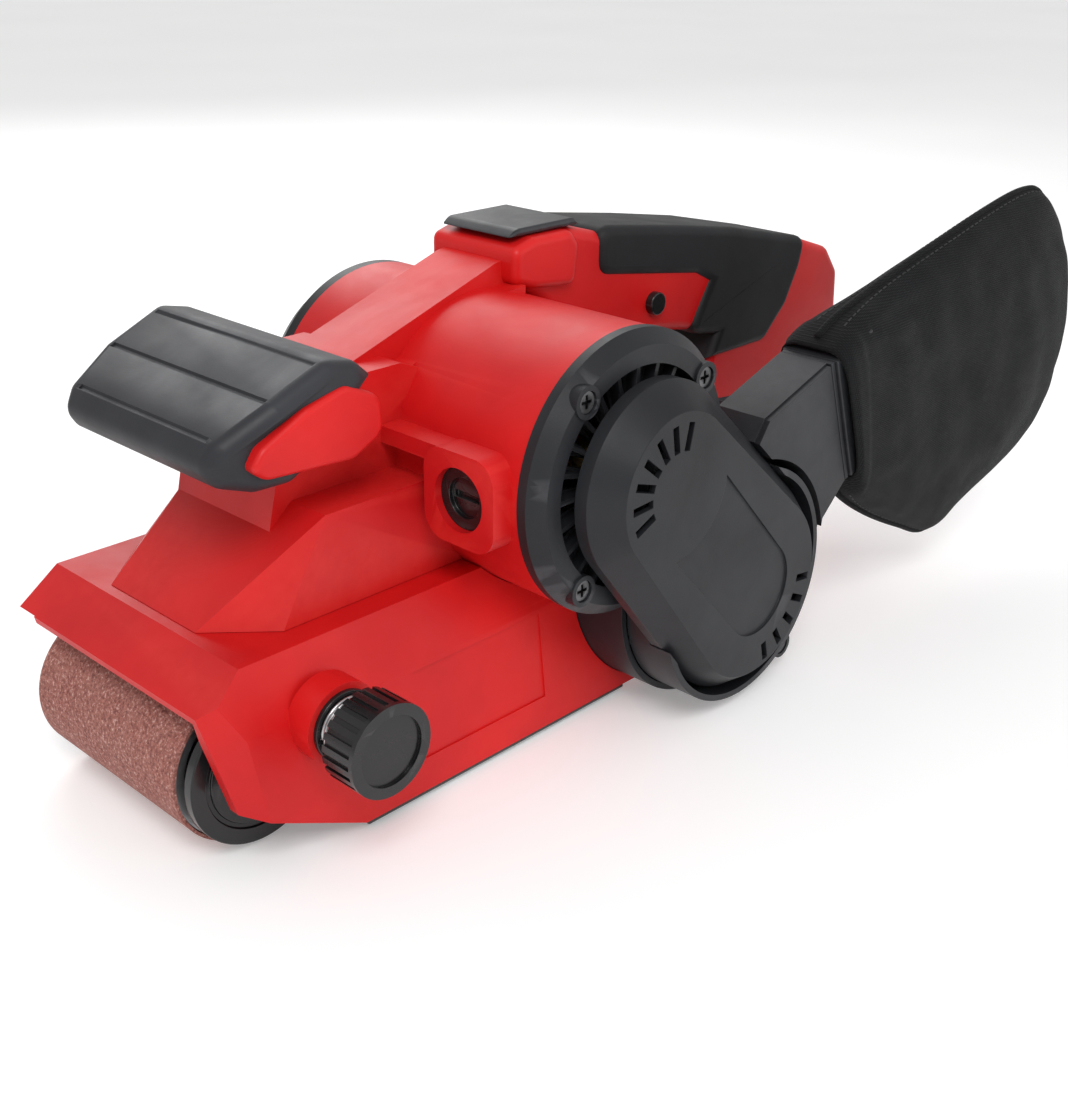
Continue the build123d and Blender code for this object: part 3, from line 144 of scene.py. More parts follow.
def moulded(name, colour, deep, worn, rough, grain, depth, wear=0.35, metal=0.0, coat=0.0):
    """Moulded, cast or machined surface: tone drift, edge wear, fine grain and its gloss."""
    material, tree, shader, place = start_material(name)
    drift = noise_node(tree, place, 14, 4)
    base = ramp_node(tree, drift, [(0.35, deep), (0.62, colour)])
    edge = tree.nodes.new("ShaderNodeNewGeometry").outputs["Pointiness"]
    edge_band = span_node(tree, edge, 0.0, wear, 0.52, 0.60)
    rubbed = tree.nodes.new("ShaderNodeMath")
    rubbed.operation = "MULTIPLY"
    tree.links.new(edge_band, rubbed.inputs[0])
    tree.links.new(noise_node(tree, place, 240, 5), rubbed.inputs[1])
    tree.links.new(mix_node(tree, rubbed.outputs[0], base, worn), shader.inputs["Base Color"])
    smudge = noise_node(tree, place, 38, 5, 0.65, 0.4)
    tree.links.new(span_node(tree, smudge, rough - 0.06, rough + 0.09), shader.inputs["Roughness"])
    bump_node(tree, shader, noise_node(tree, place, grain, 2), depth, 0.5)
    shader.inputs["Metallic"].default_value = metal
    shader.inputs["Coat Weight"].default_value = coat
    if metal == 0.0:
        shader.inputs["Specular IOR Level"].default_value = 0.28
    shader.inputs["Coat Roughness"].default_value = 0.18
    return material


red_plastic = moulded("red_satin_nylon", RED, RED_DEEP, RED_WORN, 0.42, 2600, 0.00004, 0.5, 0.0, 0.0)


def paint(node, material):
    """Gives a CAD node or a piece its one material."""
    target = frame["nodes"][node] if isinstance(node, str) else node
    target.data.materials.clear()
    target.data.materials.append(material)
    return target


def link(name, mesh):
    """Object in the scene for a finished mesh."""
    piece = bpy.data.objects.new(name, mesh)
    bpy.context.scene.collection.objects.link(piece)
    return piece


def settle(piece):
    """Turns a piece and its modifiers into a plain mesh."""
    bpy.context.view_layer.update()
    view = bpy.context.evaluated_depsgraph_get()
    mesh = bpy.data.meshes.new_from_object(piece.evaluated_get(view))
    piece.modifiers.clear()
    piece.data = mesh
    return piece


def eased(node, width, segments=2):
    """Copy of a CAD node with a small radius on its sharp edges, in place of the node."""
    shape = bmesh.new()
    shape.from_mesh(frame["nodes"][node].data)
    bmesh.ops.remove_doubles(shape, verts=shape.verts, dist=0.000004)
    bmesh.ops.dissolve_limit(shape, angle_limit=radians(0.8), verts=shape.verts, edges=shape.edges)
    mesh = bpy.data.meshes.new(node + "_eased")
    shape.to_mesh(mesh)
    shape.free()
    piece = link(node + "_eased", mesh)
    ease = piece.modifiers.new("ease", "BEVEL")
    ease.width = width
    ease.segments = segments
    ease.limit_method = "ANGLE"
    ease.angle_limit = radians(32)
    ease.use_clamp_overlap = True
    settle(piece)
    piece.data.shade_smooth()
    piece.data.set_sharp_from_angle(angle=radians(42))
    weigh = piece.modifiers.new("weigh", "WEIGHTED_NORMAL")
    weigh.keep_sharp = True
    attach(piece, frame["nodes"][node]["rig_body"])
    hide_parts(node)
    return piece


for housing, radius in (("belt_hood", 1.0), ("motor_housing", 1.2)):
    paint(eased(housing, radius * MM, 3), red_plastic)

# ---------------------------------------------------------------- rear handle shells and rubber sleeve
# The loop handle is two red shells meeting on the centre line, screwed together. A
# thick rubber sleeve is moulded over the part that the hand closes round.
BARREL = Vector((0.045, 0, 0.0965))


def arc(centre, radius, start, end, steps):
    """Points (x, z) along an arc, from start to end degrees."""
    return [
        (
            centre[0] + radius * cos(radians(start + (end - start) * n / steps)),
            centre[1] + radius * sin(radians(start + (end - start) * n / steps)),
        )
        for n in range(steps + 1)
    ]


def rounded(points, radius, steps=5, least=0.0):
    """Outline with its corners turned into arcs; one that can't reach the least radius stays sharp."""
    done = []
    count = len(points)
    for n in range(count):
        before, here, after = Vector(points[n - 1]), Vector(points[n]), Vector(points[(n + 1) % count])
        back, ahead = before - here, after - here
        half = back.angle(ahead, pi) / 2
        widest = sin(half) / max(cos(half), 0.01)
        reach = min(radius / widest, 0.45 * back.length, 0.45 * ahead.length)
        if reach * widest < least or reach < 0.0002:
            done.append(tuple(here))
            continue
        first, last = here + back.normalized() * reach, here + ahead.normalized() * reach
        for step in range(steps + 1):
            share = step / steps
            done.append(tuple(first.lerp(here, share).lerp(here.lerp(last, share), share)))
    return done


def inset(points, amount):
    """Closed outline moved inwards, whichever way round it runs."""
    count = len(points)
    area = sum(points[n - 1][0] * points[n][1] - points[n][0] * points[n - 1][1] for n in range(count))
    hand = 1 if area > 0 else -1
    moved = []
    for n in range(count):
        before, here, after = Vector(points[n - 1]), Vector(points[n]), Vector(points[(n + 1) % count])
        first, second = (here - before).normalized(), (after - here).normalized()
        across = Vector((-first.y - second.y, first.x + second.x)) * hand
        share = amount / max(0.35, 1 + first.dot(second))
        moved.append(tuple(here + across * share))
    return moved


def rounded_plate(name, outline, y_low, y_high, radius, steps=5):
    """Solid plate lying in XZ, with its long edges rounded off."""
    rings = []
    for n in range(steps + 1):
        turn = radians(90 * n / steps)
        rings.append((radius * (1 - sin(turn)), y_low + radius * (1 - cos(turn))))
    rings += [(back, y_low + y_high - y) for back, y in reversed(rings)]
    shape = bmesh.new()
    loops = [[shape.verts.new((x, y, z)) for x, z in inset(outline, back)] for back, y in rings]
    count = len(outline)
    for first, second in zip(loops, loops[1:]):
        for n in range(count):
            shape.faces.new((first[n - 1], first[n], second[n], second[n - 1]))
    shape.faces.new(loops[0])
    shape.faces.new(list(reversed(loops[-1])))
    bmesh.ops.recalc_face_normals(shape, faces=shape.faces)
    mesh = bpy.data.meshes.new(name)
    shape.to_mesh(mesh)
    shape.free()
    mesh.shade_smooth()
    mesh.set_sharp_from_angle(angle=radians(40))
    piece = link(name, mesh)
    piece.modifiers.new("weigh", "WEIGHTED_NORMAL").keep_sharp = True
    return piece


def mm(points):
    """Outline in metres from one written in millimetres."""
    return [(x * MM, z * MM) for x, z in points]


HANDLE_HALF = 17.0
crown = [(56.5, 154.5), (68, 157.2), (88, 157.2), (104, 153), (144, 148.0), (181, 142.0)]
crown += [(234, 130.5), (251, 125), (260, 114), (261.5, 95), (258, 78), (246, 60.5), (200, 46), (150, 38)]
crown += [(108, 34), (108, 66.5), (150, 68), (162, 76), (170, 92), (175, 103.5), (137, 110.5)]
barrel_edge = arc((BARREL.x, BARREL.z), 0.0466, 18.0, 75.0, 8)
handle_outline = rounded(mm(crown) + barrel_edge, 0.007, least=0.0045)
handle = rounded_plate("handle_shells", handle_outline, -HANDLE_HALF * MM, HANDLE_HALF * MM, 0.0042)
paint(handle, red_plastic)
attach(handle, "machine")
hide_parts("handle_shell_near", "handle_shell_far")

crest_edge = [(56, 143), (56, 154.8), (66, 157.4), (84, 157.4), (88, 152), (86, 138), (66, 140)]
crest = rounded_plate("handle_crest", rounded(mm(crest_edge), 0.004, least=0.0032), -0.0209, 0.0209, 0.0030)
paint(crest, red_plastic)
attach(crest, "machine")

grip_edge = [(101, 156.0), (144, 149.8), (181, 143.7), (231, 132.6), (228, 121), (220, 106), (206, 93)]
grip_edge += [(168.7, 93), (173.0, 102.4), (154, 106.0), (166, 125), (158, 129), (101, 138)]
sleeve = rounded_plate(
    "handle_sleeve_grip", rounded(mm(grip_edge), 0.0065, least=0.0042), -0.0187, 0.0187, 0.0038
)
RUBBER = (0.012, 0.0125, 0.0145, 1)
RUBBER_DEEP = (0.009, 0.009, 0.010, 1)
RUBBER_WORN = (0.07, 0.07, 0.075, 1)
rubber = moulded("moulded_rubber", RUBBER, RUBBER_DEEP, RUBBER_WORN, 0.58, 1500, 0.00007, 0.4)
paint(sleeve, rubber)
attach(sleeve, "machine")
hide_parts("handle_sleeve")

# ---------------------------------------------------------------- charcoal drive housings
# Drive cover, pulley housing, fan housing, duct and motor end parts are one dark grey
# filled nylon, a little coarser and less glossy than the red shells.
CHARCOAL = (0.017, 0.018, 0.021, 1)
CHARCOAL_DEEP = (0.010, 0.010, 0.012, 1)
CHARCOAL_WORN = (0.10, 0.10, 0.11, 1)
charcoal = moulded("charcoal_nylon", CHARCOAL, CHARCOAL_DEEP, CHARCOAL_WORN, 0.42, 1900, 0.00006, 0.6)
for node, radius in (
    ("drive_cover", 0.7),
    ("pulley_housing", 0.5),
    ("dust_fan_housing", 0.6),
    ("dust_duct", 0.7),
    ("dust_spigot", 0.5),
    ("far_end_bell", 0.6),
    ("motor_end_ring", 0.4),
    ("bag_collar", 0.6),
    ("crest_pad", 2.0),
):
    paint(eased(node, radius * MM, 3), charcoal)
for node in ("cooling_fan", "dust_fan", "driven_pulley"):
    paint(node, charcoal)

# ---------------------------------------------------------------- front grip
# The bar grip over the nose is a red core with a dark soft cover wrapped over its top
# and front. Two shallow grooves run across the cover, and each end shows the core.
GRIP_HALF = 44.4
cover_edge = [
    (-24.6, 135.6), (-30, 140.6), (-40, 142.8), (-59.7, 134.5), (-76, 125.5), (-80.3, 119), (-76, 112.7)
]
cover_edge += [(-66, 109.7), (-55, 110.2), (-47.5, 114.5)]
cover = rounded_plate(
    "front_grip_skin", rounded(mm(cover_edge), 0.006, least=0.0047), -GRIP_HALF * MM, GRIP_HALF * MM, 0.0045
)
for vertex in cover.data.vertices:
    nose = min(1.0, max(0.0, (-0.050 - vertex.co.x) / 0.030))
    vertex.co.y *= 1 - 0.17 * nose * nose
grooves = bmesh.new()
for x, z, reach in ((-43.0, 142.2, 39.5), (-59.7, 134.9, 39.0), (-75.4, 126.4, 33.0)):
    line = Matrix.Translation((x * MM, 0, z * MM)) @ Matrix.Rotation(radians(90), 4, "X")
    bmesh.ops.create_cone(
        grooves, cap_ends=True, segments=8, radius1=0.0011, radius2=0.0011,
        depth=2 * reach * MM, matrix=line,
    )
groove_mesh = bpy.data.meshes.new("grip_grooves")
grooves.to_mesh(groove_mesh)
grooves.free()
groove_cutter = link("grip_grooves", groove_mesh)
cut = cover.modifiers.new("grooves", "BOOLEAN")
cut.operation = "DIFFERENCE"
cut.object = groove_cutter
settle(cover)
bpy.data.objects.remove(groove_cutter)
cover.data.shade_smooth()
cover.data.set_sharp_from_angle(angle=radians(40))
GRIP_TOP = (0.030, 0.031, 0.036, 1)
GRIP_DEEP = (0.018, 0.018, 0.021, 1)
soft_cover = moulded("soft_grip_skin", GRIP_TOP, GRIP_DEEP, CHARCOAL_WORN, 0.48, 1700, 0.00006, 0.5)
paint(cover, soft_cover)
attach(cover, "machine")
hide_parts("front_grip_cover")
heart_edge = [
    (-23.5, 129.5), (-36, 135.4), (-50, 131.5), (-66, 123.6), (-70, 118.4), (-65, 114.4), (-50, 113.4)
]
heart_edge += [(-34, 112.5), (-22.5, 118)]
heart = rounded_plate(
    "front_grip_heart", rounded(mm(heart_edge), 0.006, 4, 0.0029), -0.0453, 0.0453, 0.0018, 4
)
paint(heart, red_plastic)
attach(heart, "machine")
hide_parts("front_grip_core")

# ---------------------------------------------------------------- sanding belt
# Cloth-backed abrasive loop, aluminium oxide grains in a red-brown resin. The grains
# sit proud and catch light as pale and dark specks.
grit, tree, shader, place = start_material("bonded_grit")
cells = tree.nodes.new("ShaderNodeTexVoronoi")
cells.inputs["Scale"].default_value = 700
tree.links.new(place, cells.inputs["Vector"])
speck = ramp_node(
    tree,
    noise_node(tree, place, 950, 4, 0.8),
    [
        (0.34, (0.060, 0.013, 0.011, 1)),
        (0.47, (0.27, 0.085, 0.066, 1)),
        (0.56, (0.38, 0.14, 0.11, 1)),
        (0.68, (0.78, 0.58, 0.52, 1)),
    ],
)
grain_tone = ramp_node(
    tree, cells.outputs["Color"], [(0.2, (0.17, 0.040, 0.034, 1)), (0.85, (0.40, 0.15, 0.12, 1))]
)
half = tree.nodes.new("ShaderNodeMix")
half.data_type = "RGBA"
half.inputs["Factor"].default_value = 0.25
tree.links.new(speck, half.inputs[6])
tree.links.new(grain_tone, half.inputs[7])
dust = span_node(tree, noise_node(tree, place, 60, 4), 0.0, 0.12)
dusted = mix_node(tree, dust, half.outputs[2], (0.50, 0.33, 0.27, 1))
tree.links.new(dusted, shader.inputs["Base Color"])
tree.links.new(span_node(tree, cells.outputs["Distance"], 0.75, 0.95, 0, 0.6), shader.inputs["Roughness"])
bump_node(tree, shader, cells.outputs["Distance"], 0.0004, 0.8)
paint("sanding_belt", grit)

# ---------------------------------------------------------------- glossy black fittings
# Knob, guard, brush caps, trigger, button and bottom rail are unfilled black nylon with a polished tool
# finish, faintly scratched.
BLACK = (0.010, 0.010, 0.011, 1)
BLACK_DEEP = (0.006, 0.006, 0.007, 1)
BLACK_WORN = (0.09, 0.09, 0.09, 1)
black = moulded("polished_black_nylon", BLACK, BLACK_DEEP, BLACK_WORN, 0.25, 1200, 0.00002, 0.5, 0.0, 0.3)
for node, radius in (
    ("tracking_knob", 0.45),
    ("roller_guard", 0.8),
    ("brush_caps", 0.5),
    ("trigger", 0.9),
    ("lock_button", 0.6),
    ("tracking_bush", 0.4),
    ("base_rail", 0.4),
):
    paint(eased(node, radius * MM, 3), black)
paint("switch_body", black)
paint(eased("cord_inlet", 0.6 * MM), rubber)

# ---------------------------------------------------------------- belt tracking spring
# A short round-wire coil holds the knob's shaft against its bush.
spring_low, spring_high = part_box("tracking_spring")
spring_mid = (spring_low + spring_high) / 2
WIRE = 0.0006
TURNS = 4.5
coil_radius = (spring_high.x - spring_low.x) / 2 - WIRE
coil_length = spring_high.y - spring_low.y - 2 * WIRE
WIRE_SIDES = 8
COIL_STEPS = 150
shape = bmesh.new()
rows = []
for n in range(COIL_STEPS + 1):
    share = n / COIL_STEPS
    turn = 2 * pi * TURNS * share
    outward = Vector((cos(turn), 0, sin(turn)))
    middle = outward * coil_radius
    middle += Vector((spring_mid.x, spring_low.y + WIRE + coil_length * share, spring_mid.z))
    ring = []
    for k in range(WIRE_SIDES):
        around = 2 * pi * k / WIRE_SIDES
        ring.append(
            shape.verts.new(middle + outward * WIRE * cos(around) + Vector((0, WIRE * sin(around), 0)))
        )
    rows.append(ring)
for first, second in zip(rows, rows[1:]):
    for k in range(WIRE_SIDES):
        shape.faces.new((first[k - 1], first[k], second[k], second[k - 1]))
shape.faces.new(rows[0])
shape.faces.new(list(reversed(rows[-1])))
bmesh.ops.recalc_face_normals(shape, faces=shape.faces)
coil_mesh = bpy.data.meshes.new("tracking_coil")
shape.to_mesh(coil_mesh)
shape.free()
coil_mesh.shade_smooth()
coil = link("tracking_coil", coil_mesh)
STEEL = (0.46, 0.46, 0.47, 1)
STEEL_DEEP = (0.30, 0.30, 0.31, 1)
STEEL_WORN = (0.75, 0.75, 0.75, 1)
steel = moulded("ground_steel", STEEL, STEEL_DEEP, STEEL_WORN, 0.30, 900, 0.00002, 0.6, 1.0)
paint(coil, steel)
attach(coil, "machine")
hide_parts("tracking_spring")

# ---------------------------------------------------------------- steel, cast and turned inner parts
# Shafts, gears, bearings and plates are steel; the base frame, slider and rollers are
# cast aluminium; bushes and brush holders are brass and the windings varnished copper.
ALLOY = (0.50, 0.51, 0.53, 1)
ALLOY_DEEP = (0.36, 0.37, 0.39, 1)
alloy = moulded("cast_alloy", ALLOY, ALLOY_DEEP, STEEL_WORN, 0.48, 1300, 0.00010, 0.5, 1.0)
BRASS = ((0.55, 0.36, 0.12, 1), (0.38, 0.23, 0.07, 1), (0.75, 0.58, 0.28, 1))
brass = moulded("turned_brass", *BRASS, 0.30, 900, 0.00002, 0.5, 1.0)
COPPER = ((0.42, 0.13, 0.05, 1), (0.22, 0.06, 0.03, 1), (0.62, 0.28, 0.14, 1))
copper = moulded("varnished_copper", *COPPER, 0.34, 700, 0.00030, 0.5, 0.8, 0.5)
CARBON = ((0.020, 0.020, 0.021, 1), (0.010, 0.010, 0.010, 1), (0.08, 0.08, 0.08, 1))
carbon = moulded("pressed_carbon", *CARBON, 0.55, 1500, 0.00005)
GRAPHITE = ((0.07, 0.068, 0.064, 1), (0.035, 0.034, 0.033, 1), (0.18, 0.18, 0.17, 1))
graphite = moulded("graphite_cloth", *GRAPHITE, 0.70, 1400, 0.00020)
BLACKENED = ((0.035, 0.035, 0.038, 1), (0.02, 0.02, 0.022, 1), (0.35, 0.35, 0.36, 1))
dark_steel = moulded("blackened_screws", *BLACKENED, 0.34, 900, 0.00003, 0.7, 0.8)
steel_nodes = (
    "ball_bearings", "stator_core", "armature_core", "armature_shaft", "motor_pulley", "counter_shaft",
    "rear_shaft", "drive_gear", "roller_yoke", "front_axle", "tracking_shaft", "tension_lever",
    "platen_plate", "pivot_pins", "tension_spring",
)
for finish, nodes in (
    (steel, steel_nodes),
    (alloy, ("base_frame", "fork_slider", "front_roller", "rear_roller_core")),
    (brass, ("brush_holders", "front_roller_bushes", "commutator")),
    (copper, ("field_coils", "armature_windings")),
    (rubber, ("rear_roller_tread", "toothed_belt")),
    (carbon, ("carbon_brushes",)),
    (graphite, ("platen_pad",)),
    (dark_steel, ("housing_screws",)),
):
    for node in nodes:
        paint(node, finish)

# ---------------------------------------------------------------- dust bag
# Two panels of dense black polyester cloth sewn together round a piped edge. The mouth
# is gathered over a stiff collar that pushes onto the spigot; the bag hangs half full.
COLLAR_AXIS = (cos(radians(20)), sin(radians(20)))
MOUTH = (0.1405, 0.0930)
BAG_Y = (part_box("dust_bag")[0].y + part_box("dust_bag")[1].y) / 2


def from_mouth(along, across):
    """Point (x, z) given along and square to the spigot's axis, in millimetres."""
    return (
        MOUTH[0] + (along * COLLAR_AXIS[0] - across * COLLAR_AXIS[1]) * MM,
        MOUTH[1] + (along * COLLAR_AXIS[1] + across * COLLAR_AXIS[0]) * MM,
    )


def smooth_line(points, count):
    """Points spread evenly along a smooth curve through the given ones."""
    fine = []
    for n in range(len(points) - 1):
        p0, p1, p2, p3 = (Vector(points[min(max(n + k, 0), len(points) - 1)]) for k in (-1, 0, 1, 2))
        for step in range(24):
            t = step / 24
            square_part = (2 * p0 - 5 * p1 + 4 * p2 - p3) * t * t
            cube_part = (3 * p1 - p0 - 3 * p2 + p3) * t**3
            fine.append(0.5 * (2 * p1 + (p2 - p0) * t + square_part + cube_part))
    fine.append(Vector(points[-1]))
    lengths = [0.0]
    for first, second in zip(fine, fine[1:]):
        lengths.append(lengths[-1] + (second - first).length)
    spread, place = [], 0
    for n in range(count + 1):
        target = lengths[-1] * n / count
        while place < len(fine) - 2 and lengths[place + 1] < target:
            place += 1
        span = max(lengths[place + 1] - lengths[place], 1e-9)
        spread.append(fine[place].lerp(fine[place + 1], min(1.0, (target - lengths[place]) / span)))
    return spread


BAG_STATIONS = 110
BAG_ROUND = 96
bag_top = mm([(214, 143.5), (276, 154.5), (299, 147), (314, 122), (319.5, 97)])
bag_low = mm([(163, 57), (184, 43.5), (210, 30.5), (231, 22), (249, 27.5), (292, 39), (311, 51), (319, 74)])
top_edge = smooth_line([from_mouth(3.6, 27.5), from_mouth(24, 29.5)] + bag_top, BAG_STATIONS)
low_edge = smooth_line([from_mouth(3.6, -27.5)] + bag_low + bag_top[-1:], BAG_STATIONS)


def bag_point(station, around):
    """Point of the cloth: station from mouth (0) to end (1), around 0 at the top seam."""
    place = station * BAG_STATIONS
    first = min(int(place), BAG_STATIONS - 1)
    high = top_edge[first].lerp(top_edge[first + 1], place - first)
    low = low_edge[first].lerp(low_edge[first + 1], place - first)
    middle, half_height = (high + low) / 2, (high - low) / 2
    swell = min(1.0, station / 0.22)
    swell = swell * swell * (3 - 2 * swell)
    end = max(0.0, (station - 0.45) / 0.55)
    thick = (0.0146 + 0.0020 * swell) * max(0.0, 1 - end**2.6) ** 0.5
    square = 0.42 + 0.46 * swell
    turn = 2 * pi * around
    rise = (abs(cos(turn)) ** square) * (1 if cos(turn) >= 0 else -1)
    side = (abs(sin(turn)) ** square) * (-1 if sin(turn) >= 0 else 1)
    point = Vector((middle.x + half_height.x * rise, BAG_Y + thick * side, middle.y + half_height.y * rise))
    slack = abs(side) * swell * (1 - end**4)
    fold = noise.noise(Vector((point.x * 24, 3.1 * side, point.z * 17))) * 0.0030
    fold += noise.noise(Vector((point.x * 70 + point.z * 38, 7.7 * side, point.z * 52))) * 0.0011
    gather = sin(turn * 17) * 0.0006 * max(0.0, 1 - abs(station - 0.17) / 0.13)
    hem = 0.0009 if 0.012 < station < 0.055 else 0.0
    point.y += side * (slack * (fold - 0.0012) + gather + hem)
    return point


shape = bmesh.new()
rows = []
for n in range(BAG_STATIONS):
    rows.append([shape.verts.new(bag_point(n / BAG_STATIONS, k / BAG_ROUND)) for k in range(BAG_ROUND)])
thread_map = shape.loops.layers.uv.new("thread")
for n in range(BAG_STATIONS - 1):
    for k in range(BAG_ROUND):
        face = shape.faces.new((rows[n][k - 1], rows[n][k], rows[n + 1][k], rows[n + 1][k - 1]))
        for loop in face.loops:
            loop[thread_map].uv = (loop.vert.co.x, loop.vert.co.z)
tip = shape.verts.new(bag_point(1.0, 0.0))
for k in range(BAG_ROUND):
    face = shape.faces.new((rows[-1][k - 1], rows[-1][k], tip))
    for loop in face.loops:
        loop[thread_map].uv = (loop.vert.co.x, loop.vert.co.z)
bmesh.ops.recalc_face_normals(shape, faces=shape.faces)
bag_mesh = bpy.data.meshes.new("dust_bag_cloth")
shape.to_mesh(bag_mesh)
shape.free()
bag_mesh.shade_smooth()
bag = link("dust_bag_cloth", bag_mesh)
wall = bag.modifiers.new("cloth", "SOLIDIFY")
wall.thickness = 0.0008
wall.offset = -1
settle(bag)

cloth, tree, shader, place = start_material("dense_black_cloth")
weave = []
for direction in ("X", "Z"):
    threads = tree.nodes.new("ShaderNodeTexWave")
    threads.wave_type = "BANDS"
    threads.bands_direction = direction
    threads.inputs["Scale"].default_value = 420
    threads.inputs["Distortion"].default_value = 0.5
    threads.inputs["Detail Scale"].default_value = 40
    tree.links.new(place, threads.inputs["Vector"])
    weave.append(threads.outputs["Fac"])
crossing = tree.nodes.new("ShaderNodeMath")
crossing.operation = "MULTIPLY"
tree.links.new(weave[0], crossing.inputs[0])
tree.links.new(weave[1], crossing.inputs[1])
lint = ramp_node(
    tree,
    noise_node(tree, place, 48, 6, 0.7),
    [(0.36, (0.0030, 0.0032, 0.0036, 1)), (0.68, (0.0062, 0.0066, 0.0072, 1))],
)
tree.links.new(
    mix_node(tree, crossing.outputs[0], lint, (0.010, 0.0105, 0.0115, 1)), shader.inputs["Base Color"]
)
tree.links.new(span_node(tree, noise_node(tree, place, 80, 4), 0.78, 0.95), shader.inputs["Roughness"])
coarse = bump_node(tree, shader, noise_node(tree, place, 130, 4, 0.6), 0.0004, 0.5)
bump_node(tree, shader, crossing.outputs[0], 0.00025, 0.6, coarse)
shader.inputs["Sheen Weight"].default_value = 0.05
shader.inputs["Specular IOR Level"].default_value = 0.15
shader.inputs["Sheen Roughness"].default_value = 0.5
paint(bag, cloth)
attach(bag, "dust_bag")
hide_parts("dust_bag")

PIPING = 0.0013
PIPING_SIDES = 10
rim = top_edge + list(reversed(low_edge))[1:]
rim = rim[2:-2]
shape = bmesh.new()
rows = []
for n, spot in enumerate(rim):
    before, after = rim[max(n - 1, 0)], rim[min(n + 1, len(rim) - 1)]
    along = (after - before).normalized()
    outward = Vector((-along.y, along.x))
    middle = spot + outward * 0.0004
    rows.append(
        [
            shape.verts.new(
                (
                    middle.x + outward.x * PIPING * cos(2 * pi * k / PIPING_SIDES),
                    BAG_Y + PIPING * sin(2 * pi * k / PIPING_SIDES),
                    middle.y + outward.y * PIPING * cos(2 * pi * k / PIPING_SIDES),
                )
            )
            for k in range(PIPING_SIDES)
        ]
    )
for first, second in zip(rows, rows[1:]):
    for k in range(PIPING_SIDES):
        shape.faces.new((first[k - 1], first[k], second[k], second[k - 1]))
shape.faces.new(rows[0])
shape.faces.new(list(reversed(rows[-1])))
bmesh.ops.recalc_face_normals(shape, faces=shape.faces)
piping_mesh = bpy.data.meshes.new("dust_bag_piping")
shape.to_mesh(piping_mesh)
shape.free()
piping_mesh.shade_smooth()
piping = link("dust_bag_piping", piping_mesh)
paint(piping, cloth)
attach(piping, "dust_bag")

# Stitches run beside the piping on both panels, one straight row of even thread.
stitch_tree = bpy.data.node_groups.new("stitch_row", "GeometryNodeTree")
stitch_tree.interface.new_socket("Geometry", in_out="INPUT", socket_type="NodeSocketGeometry")
sizes = {}
for label, value in (("Pitch", 0.0032), ("Stitch Length", 0.0022), ("Thread Radius", 0.00032)):
    socket = stitch_tree.interface.new_socket(label, in_out="INPUT", socket_type="NodeSocketFloat")
    socket.default_value = value
    sizes[label] = (socket.identifier, value)
stitch_tree.interface.new_socket("Geometry", in_out="OUTPUT", socket_type="NodeSocketGeometry")
group_in = stitch_tree.nodes.new("NodeGroupInput")
group_out = stitch_tree.nodes.new("NodeGroupOutput")
to_curve = stitch_tree.nodes.new("GeometryNodeMeshToCurve")
to_points = stitch_tree.nodes.new("GeometryNodeCurveToPoints")
to_points.mode = "LENGTH"
thread = stitch_tree.nodes.new("GeometryNodeMeshCylinder")
thread.inputs["Vertices"].default_value = 6
place_thread = stitch_tree.nodes.new("GeometryNodeInstanceOnPoints")
realize = stitch_tree.nodes.new("GeometryNodeRealizeInstances")
set_material = stitch_tree.nodes.new("GeometryNodeSetMaterial")
stitch_tree.links.new(group_in.outputs["Geometry"], to_curve.inputs["Mesh"])
stitch_tree.links.new(to_curve.outputs["Curve"], to_points.inputs["Curve"])
stitch_tree.links.new(group_in.outputs["Pitch"], to_points.inputs["Length"])
stitch_tree.links.new(group_in.outputs["Thread Radius"], thread.inputs["Radius"])
stitch_tree.links.new(group_in.outputs["Stitch Length"], thread.inputs["Depth"])
stitch_tree.links.new(to_points.outputs["Points"], place_thread.inputs["Points"])
stitch_tree.links.new(to_points.outputs["Rotation"], place_thread.inputs["Rotation"])
stitch_tree.links.new(thread.outputs["Mesh"], place_thread.inputs["Instance"])
stitch_tree.links.new(place_thread.outputs["Instances"], realize.inputs["Geometry"])
stitch_tree.links.new(realize.outputs["Geometry"], set_material.inputs["Geometry"])
stitch_tree.links.new(set_material.outputs["Geometry"], group_out.inputs["Geometry"])
thread_finish = moulded(
    "waxed_thread", (0.012, 0.012, 0.013, 1), (0.008, 0.008, 0.009, 1), BLACK_WORN, 0.6, 1500, 0.00004
)
set_material.inputs["Material"].default_value = thread_finish
for side, label in ((0.022, "near"), (-0.022, "far")):
    line = [bag_point(0.06 + 0.90 * n / 160, side) for n in range(161)]
    line += [bag_point(0.06 + 0.90 * n / 160, 0.5 - side) for n in reversed(range(161))]
    path = bpy.data.meshes.new("stitch_path_" + label)
    path.from_pydata([tuple(p) for p in line], [(n, n + 1) for n in range(len(line) - 1)], [])
    stitches = link("dust_bag_stitches_" + label, path)
    row = stitches.modifiers.new("stitch_row", "NODES")
    row.node_group = stitch_tree
    for identifier, value in sizes.values():
        row[identifier] = value
    settle(stitches)
    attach(stitches, "dust_bag")

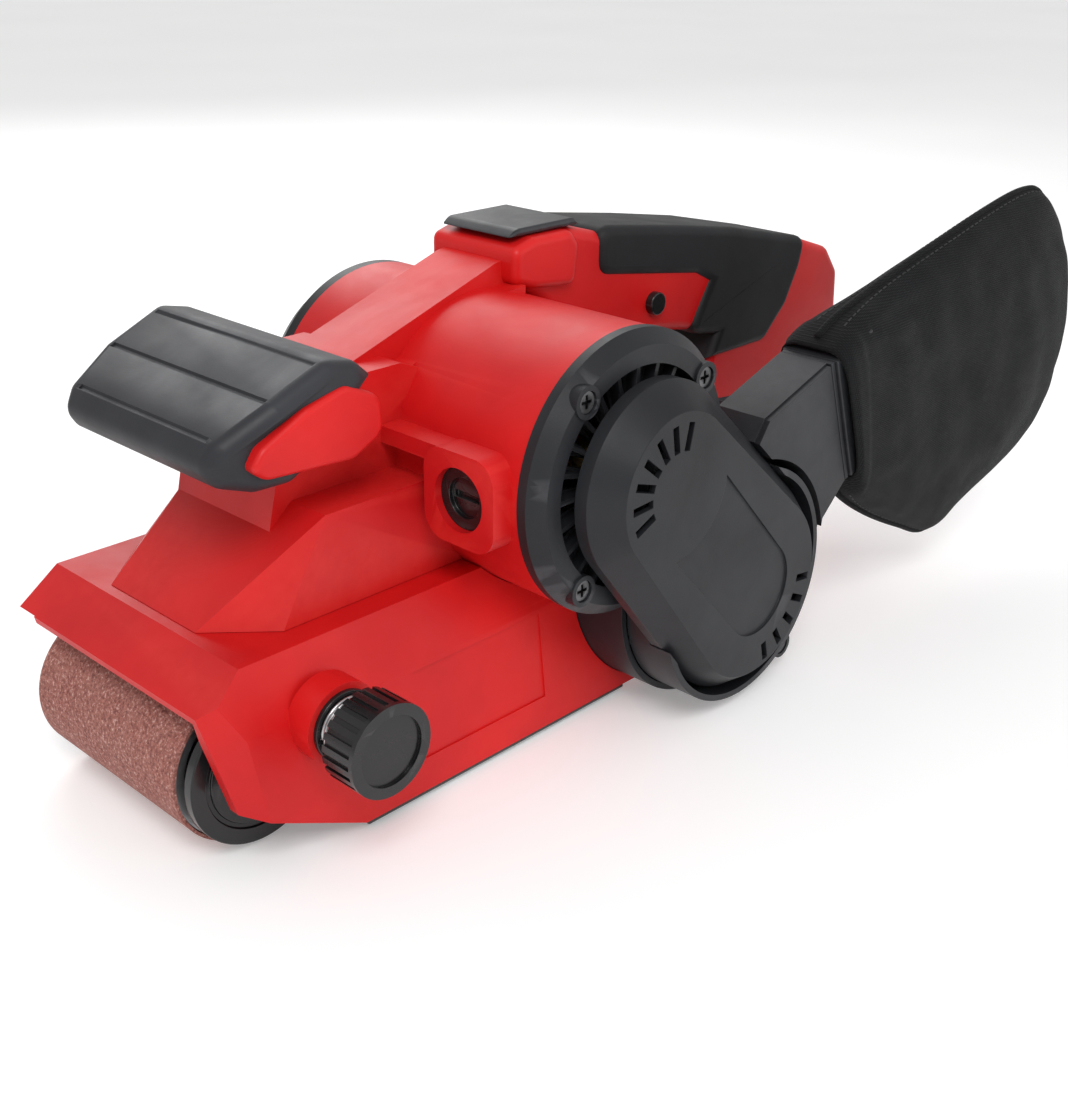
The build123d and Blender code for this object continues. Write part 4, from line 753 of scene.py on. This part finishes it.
# ---------------------------------------------------------------- floor, light and camera
# Pale seamless studio floor, a broad soft key from the upper left, a weaker fill and a
# rim light from behind.
floor_mesh = bpy.data.meshes.new("studio_floor")
FLOOR = 12.0
floor_mesh.from_pydata(
    [(-FLOOR, -FLOOR, 0), (FLOOR, -FLOOR, 0), (FLOOR, FLOOR, 0), (-FLOOR, FLOOR, 0)], [], [(0, 1, 2, 3)]
)
floor = link("studio_floor", floor_mesh)
floor_finish, tree, shader, place = start_material("pale_floor")
paper = ramp_node(
    tree, noise_node(tree, place, 3), [(0.3, (0.86, 0.86, 0.86, 1)), (0.7, (0.90, 0.90, 0.90, 1))]
)
tree.links.new(paper, shader.inputs["Base Color"])
shader.inputs["Emission Color"].default_value = (1, 1, 1, 1)
shader.inputs["Emission Strength"].default_value = 0.22
shader.inputs["Roughness"].default_value = 0.7
floor_mesh.materials.append(floor_finish)

world = bpy.data.worlds.new("studio")
world.use_nodes = True
world.node_tree.nodes["Background"].inputs["Color"].default_value = (1, 1, 1, 1)
world.node_tree.nodes["Background"].inputs["Strength"].default_value = 0.62
bpy.context.scene.world = world

bpy.context.scene.view_settings.view_transform = "Standard"
AIM = Vector((0.06, -0.02, 0.07))
for name, spot, size, power in (
    ("key", (-0.55, -0.75, 1.10), 0.55, 8.5),
    ("fill", (0.75, -1.15, 0.55), 0.9, 2.5),
    ("rim", (0.55, 0.95, 0.85), 0.8, 6.0),
):
    lamp = bpy.data.lights.new(name, "AREA")
    lamp.size = size
    lamp.energy = power
    light = bpy.data.objects.new(name, lamp)
    light.location = spot
    light.rotation_euler = (AIM - Vector(spot)).to_track_quat("-Z", "Y").to_euler()
    bpy.context.scene.collection.objects.link(light)

CAMERA_TURN = radians(-46.24)
CAMERA_TILT = radians(24.73)
CAMERA_ROLL = radians(0.51)
back = Vector((sin(CAMERA_TURN) * cos(CAMERA_TILT), -cos(CAMERA_TURN) * cos(CAMERA_TILT), sin(CAMERA_TILT)))
level = Vector((cos(CAMERA_TURN), sin(CAMERA_TURN), 0))
upward = back.cross(level)
right = level * cos(CAMERA_ROLL) + upward * sin(CAMERA_ROLL)
top = upward * cos(CAMERA_ROLL) - level * sin(CAMERA_ROLL)
lens = bpy.data.cameras.new("studio_camera")
lens.lens = 46.56
lens.sensor_width = 36
camera = bpy.data.objects.new("studio_camera", lens)
facing = Matrix((right, top, back)).transposed().to_4x4()
camera.matrix_world = Matrix.Translation((-0.2775, -0.3497, 0.2610)) @ facing
bpy.context.scene.collection.objects.link(camera)
bpy.context.scene.camera = camera
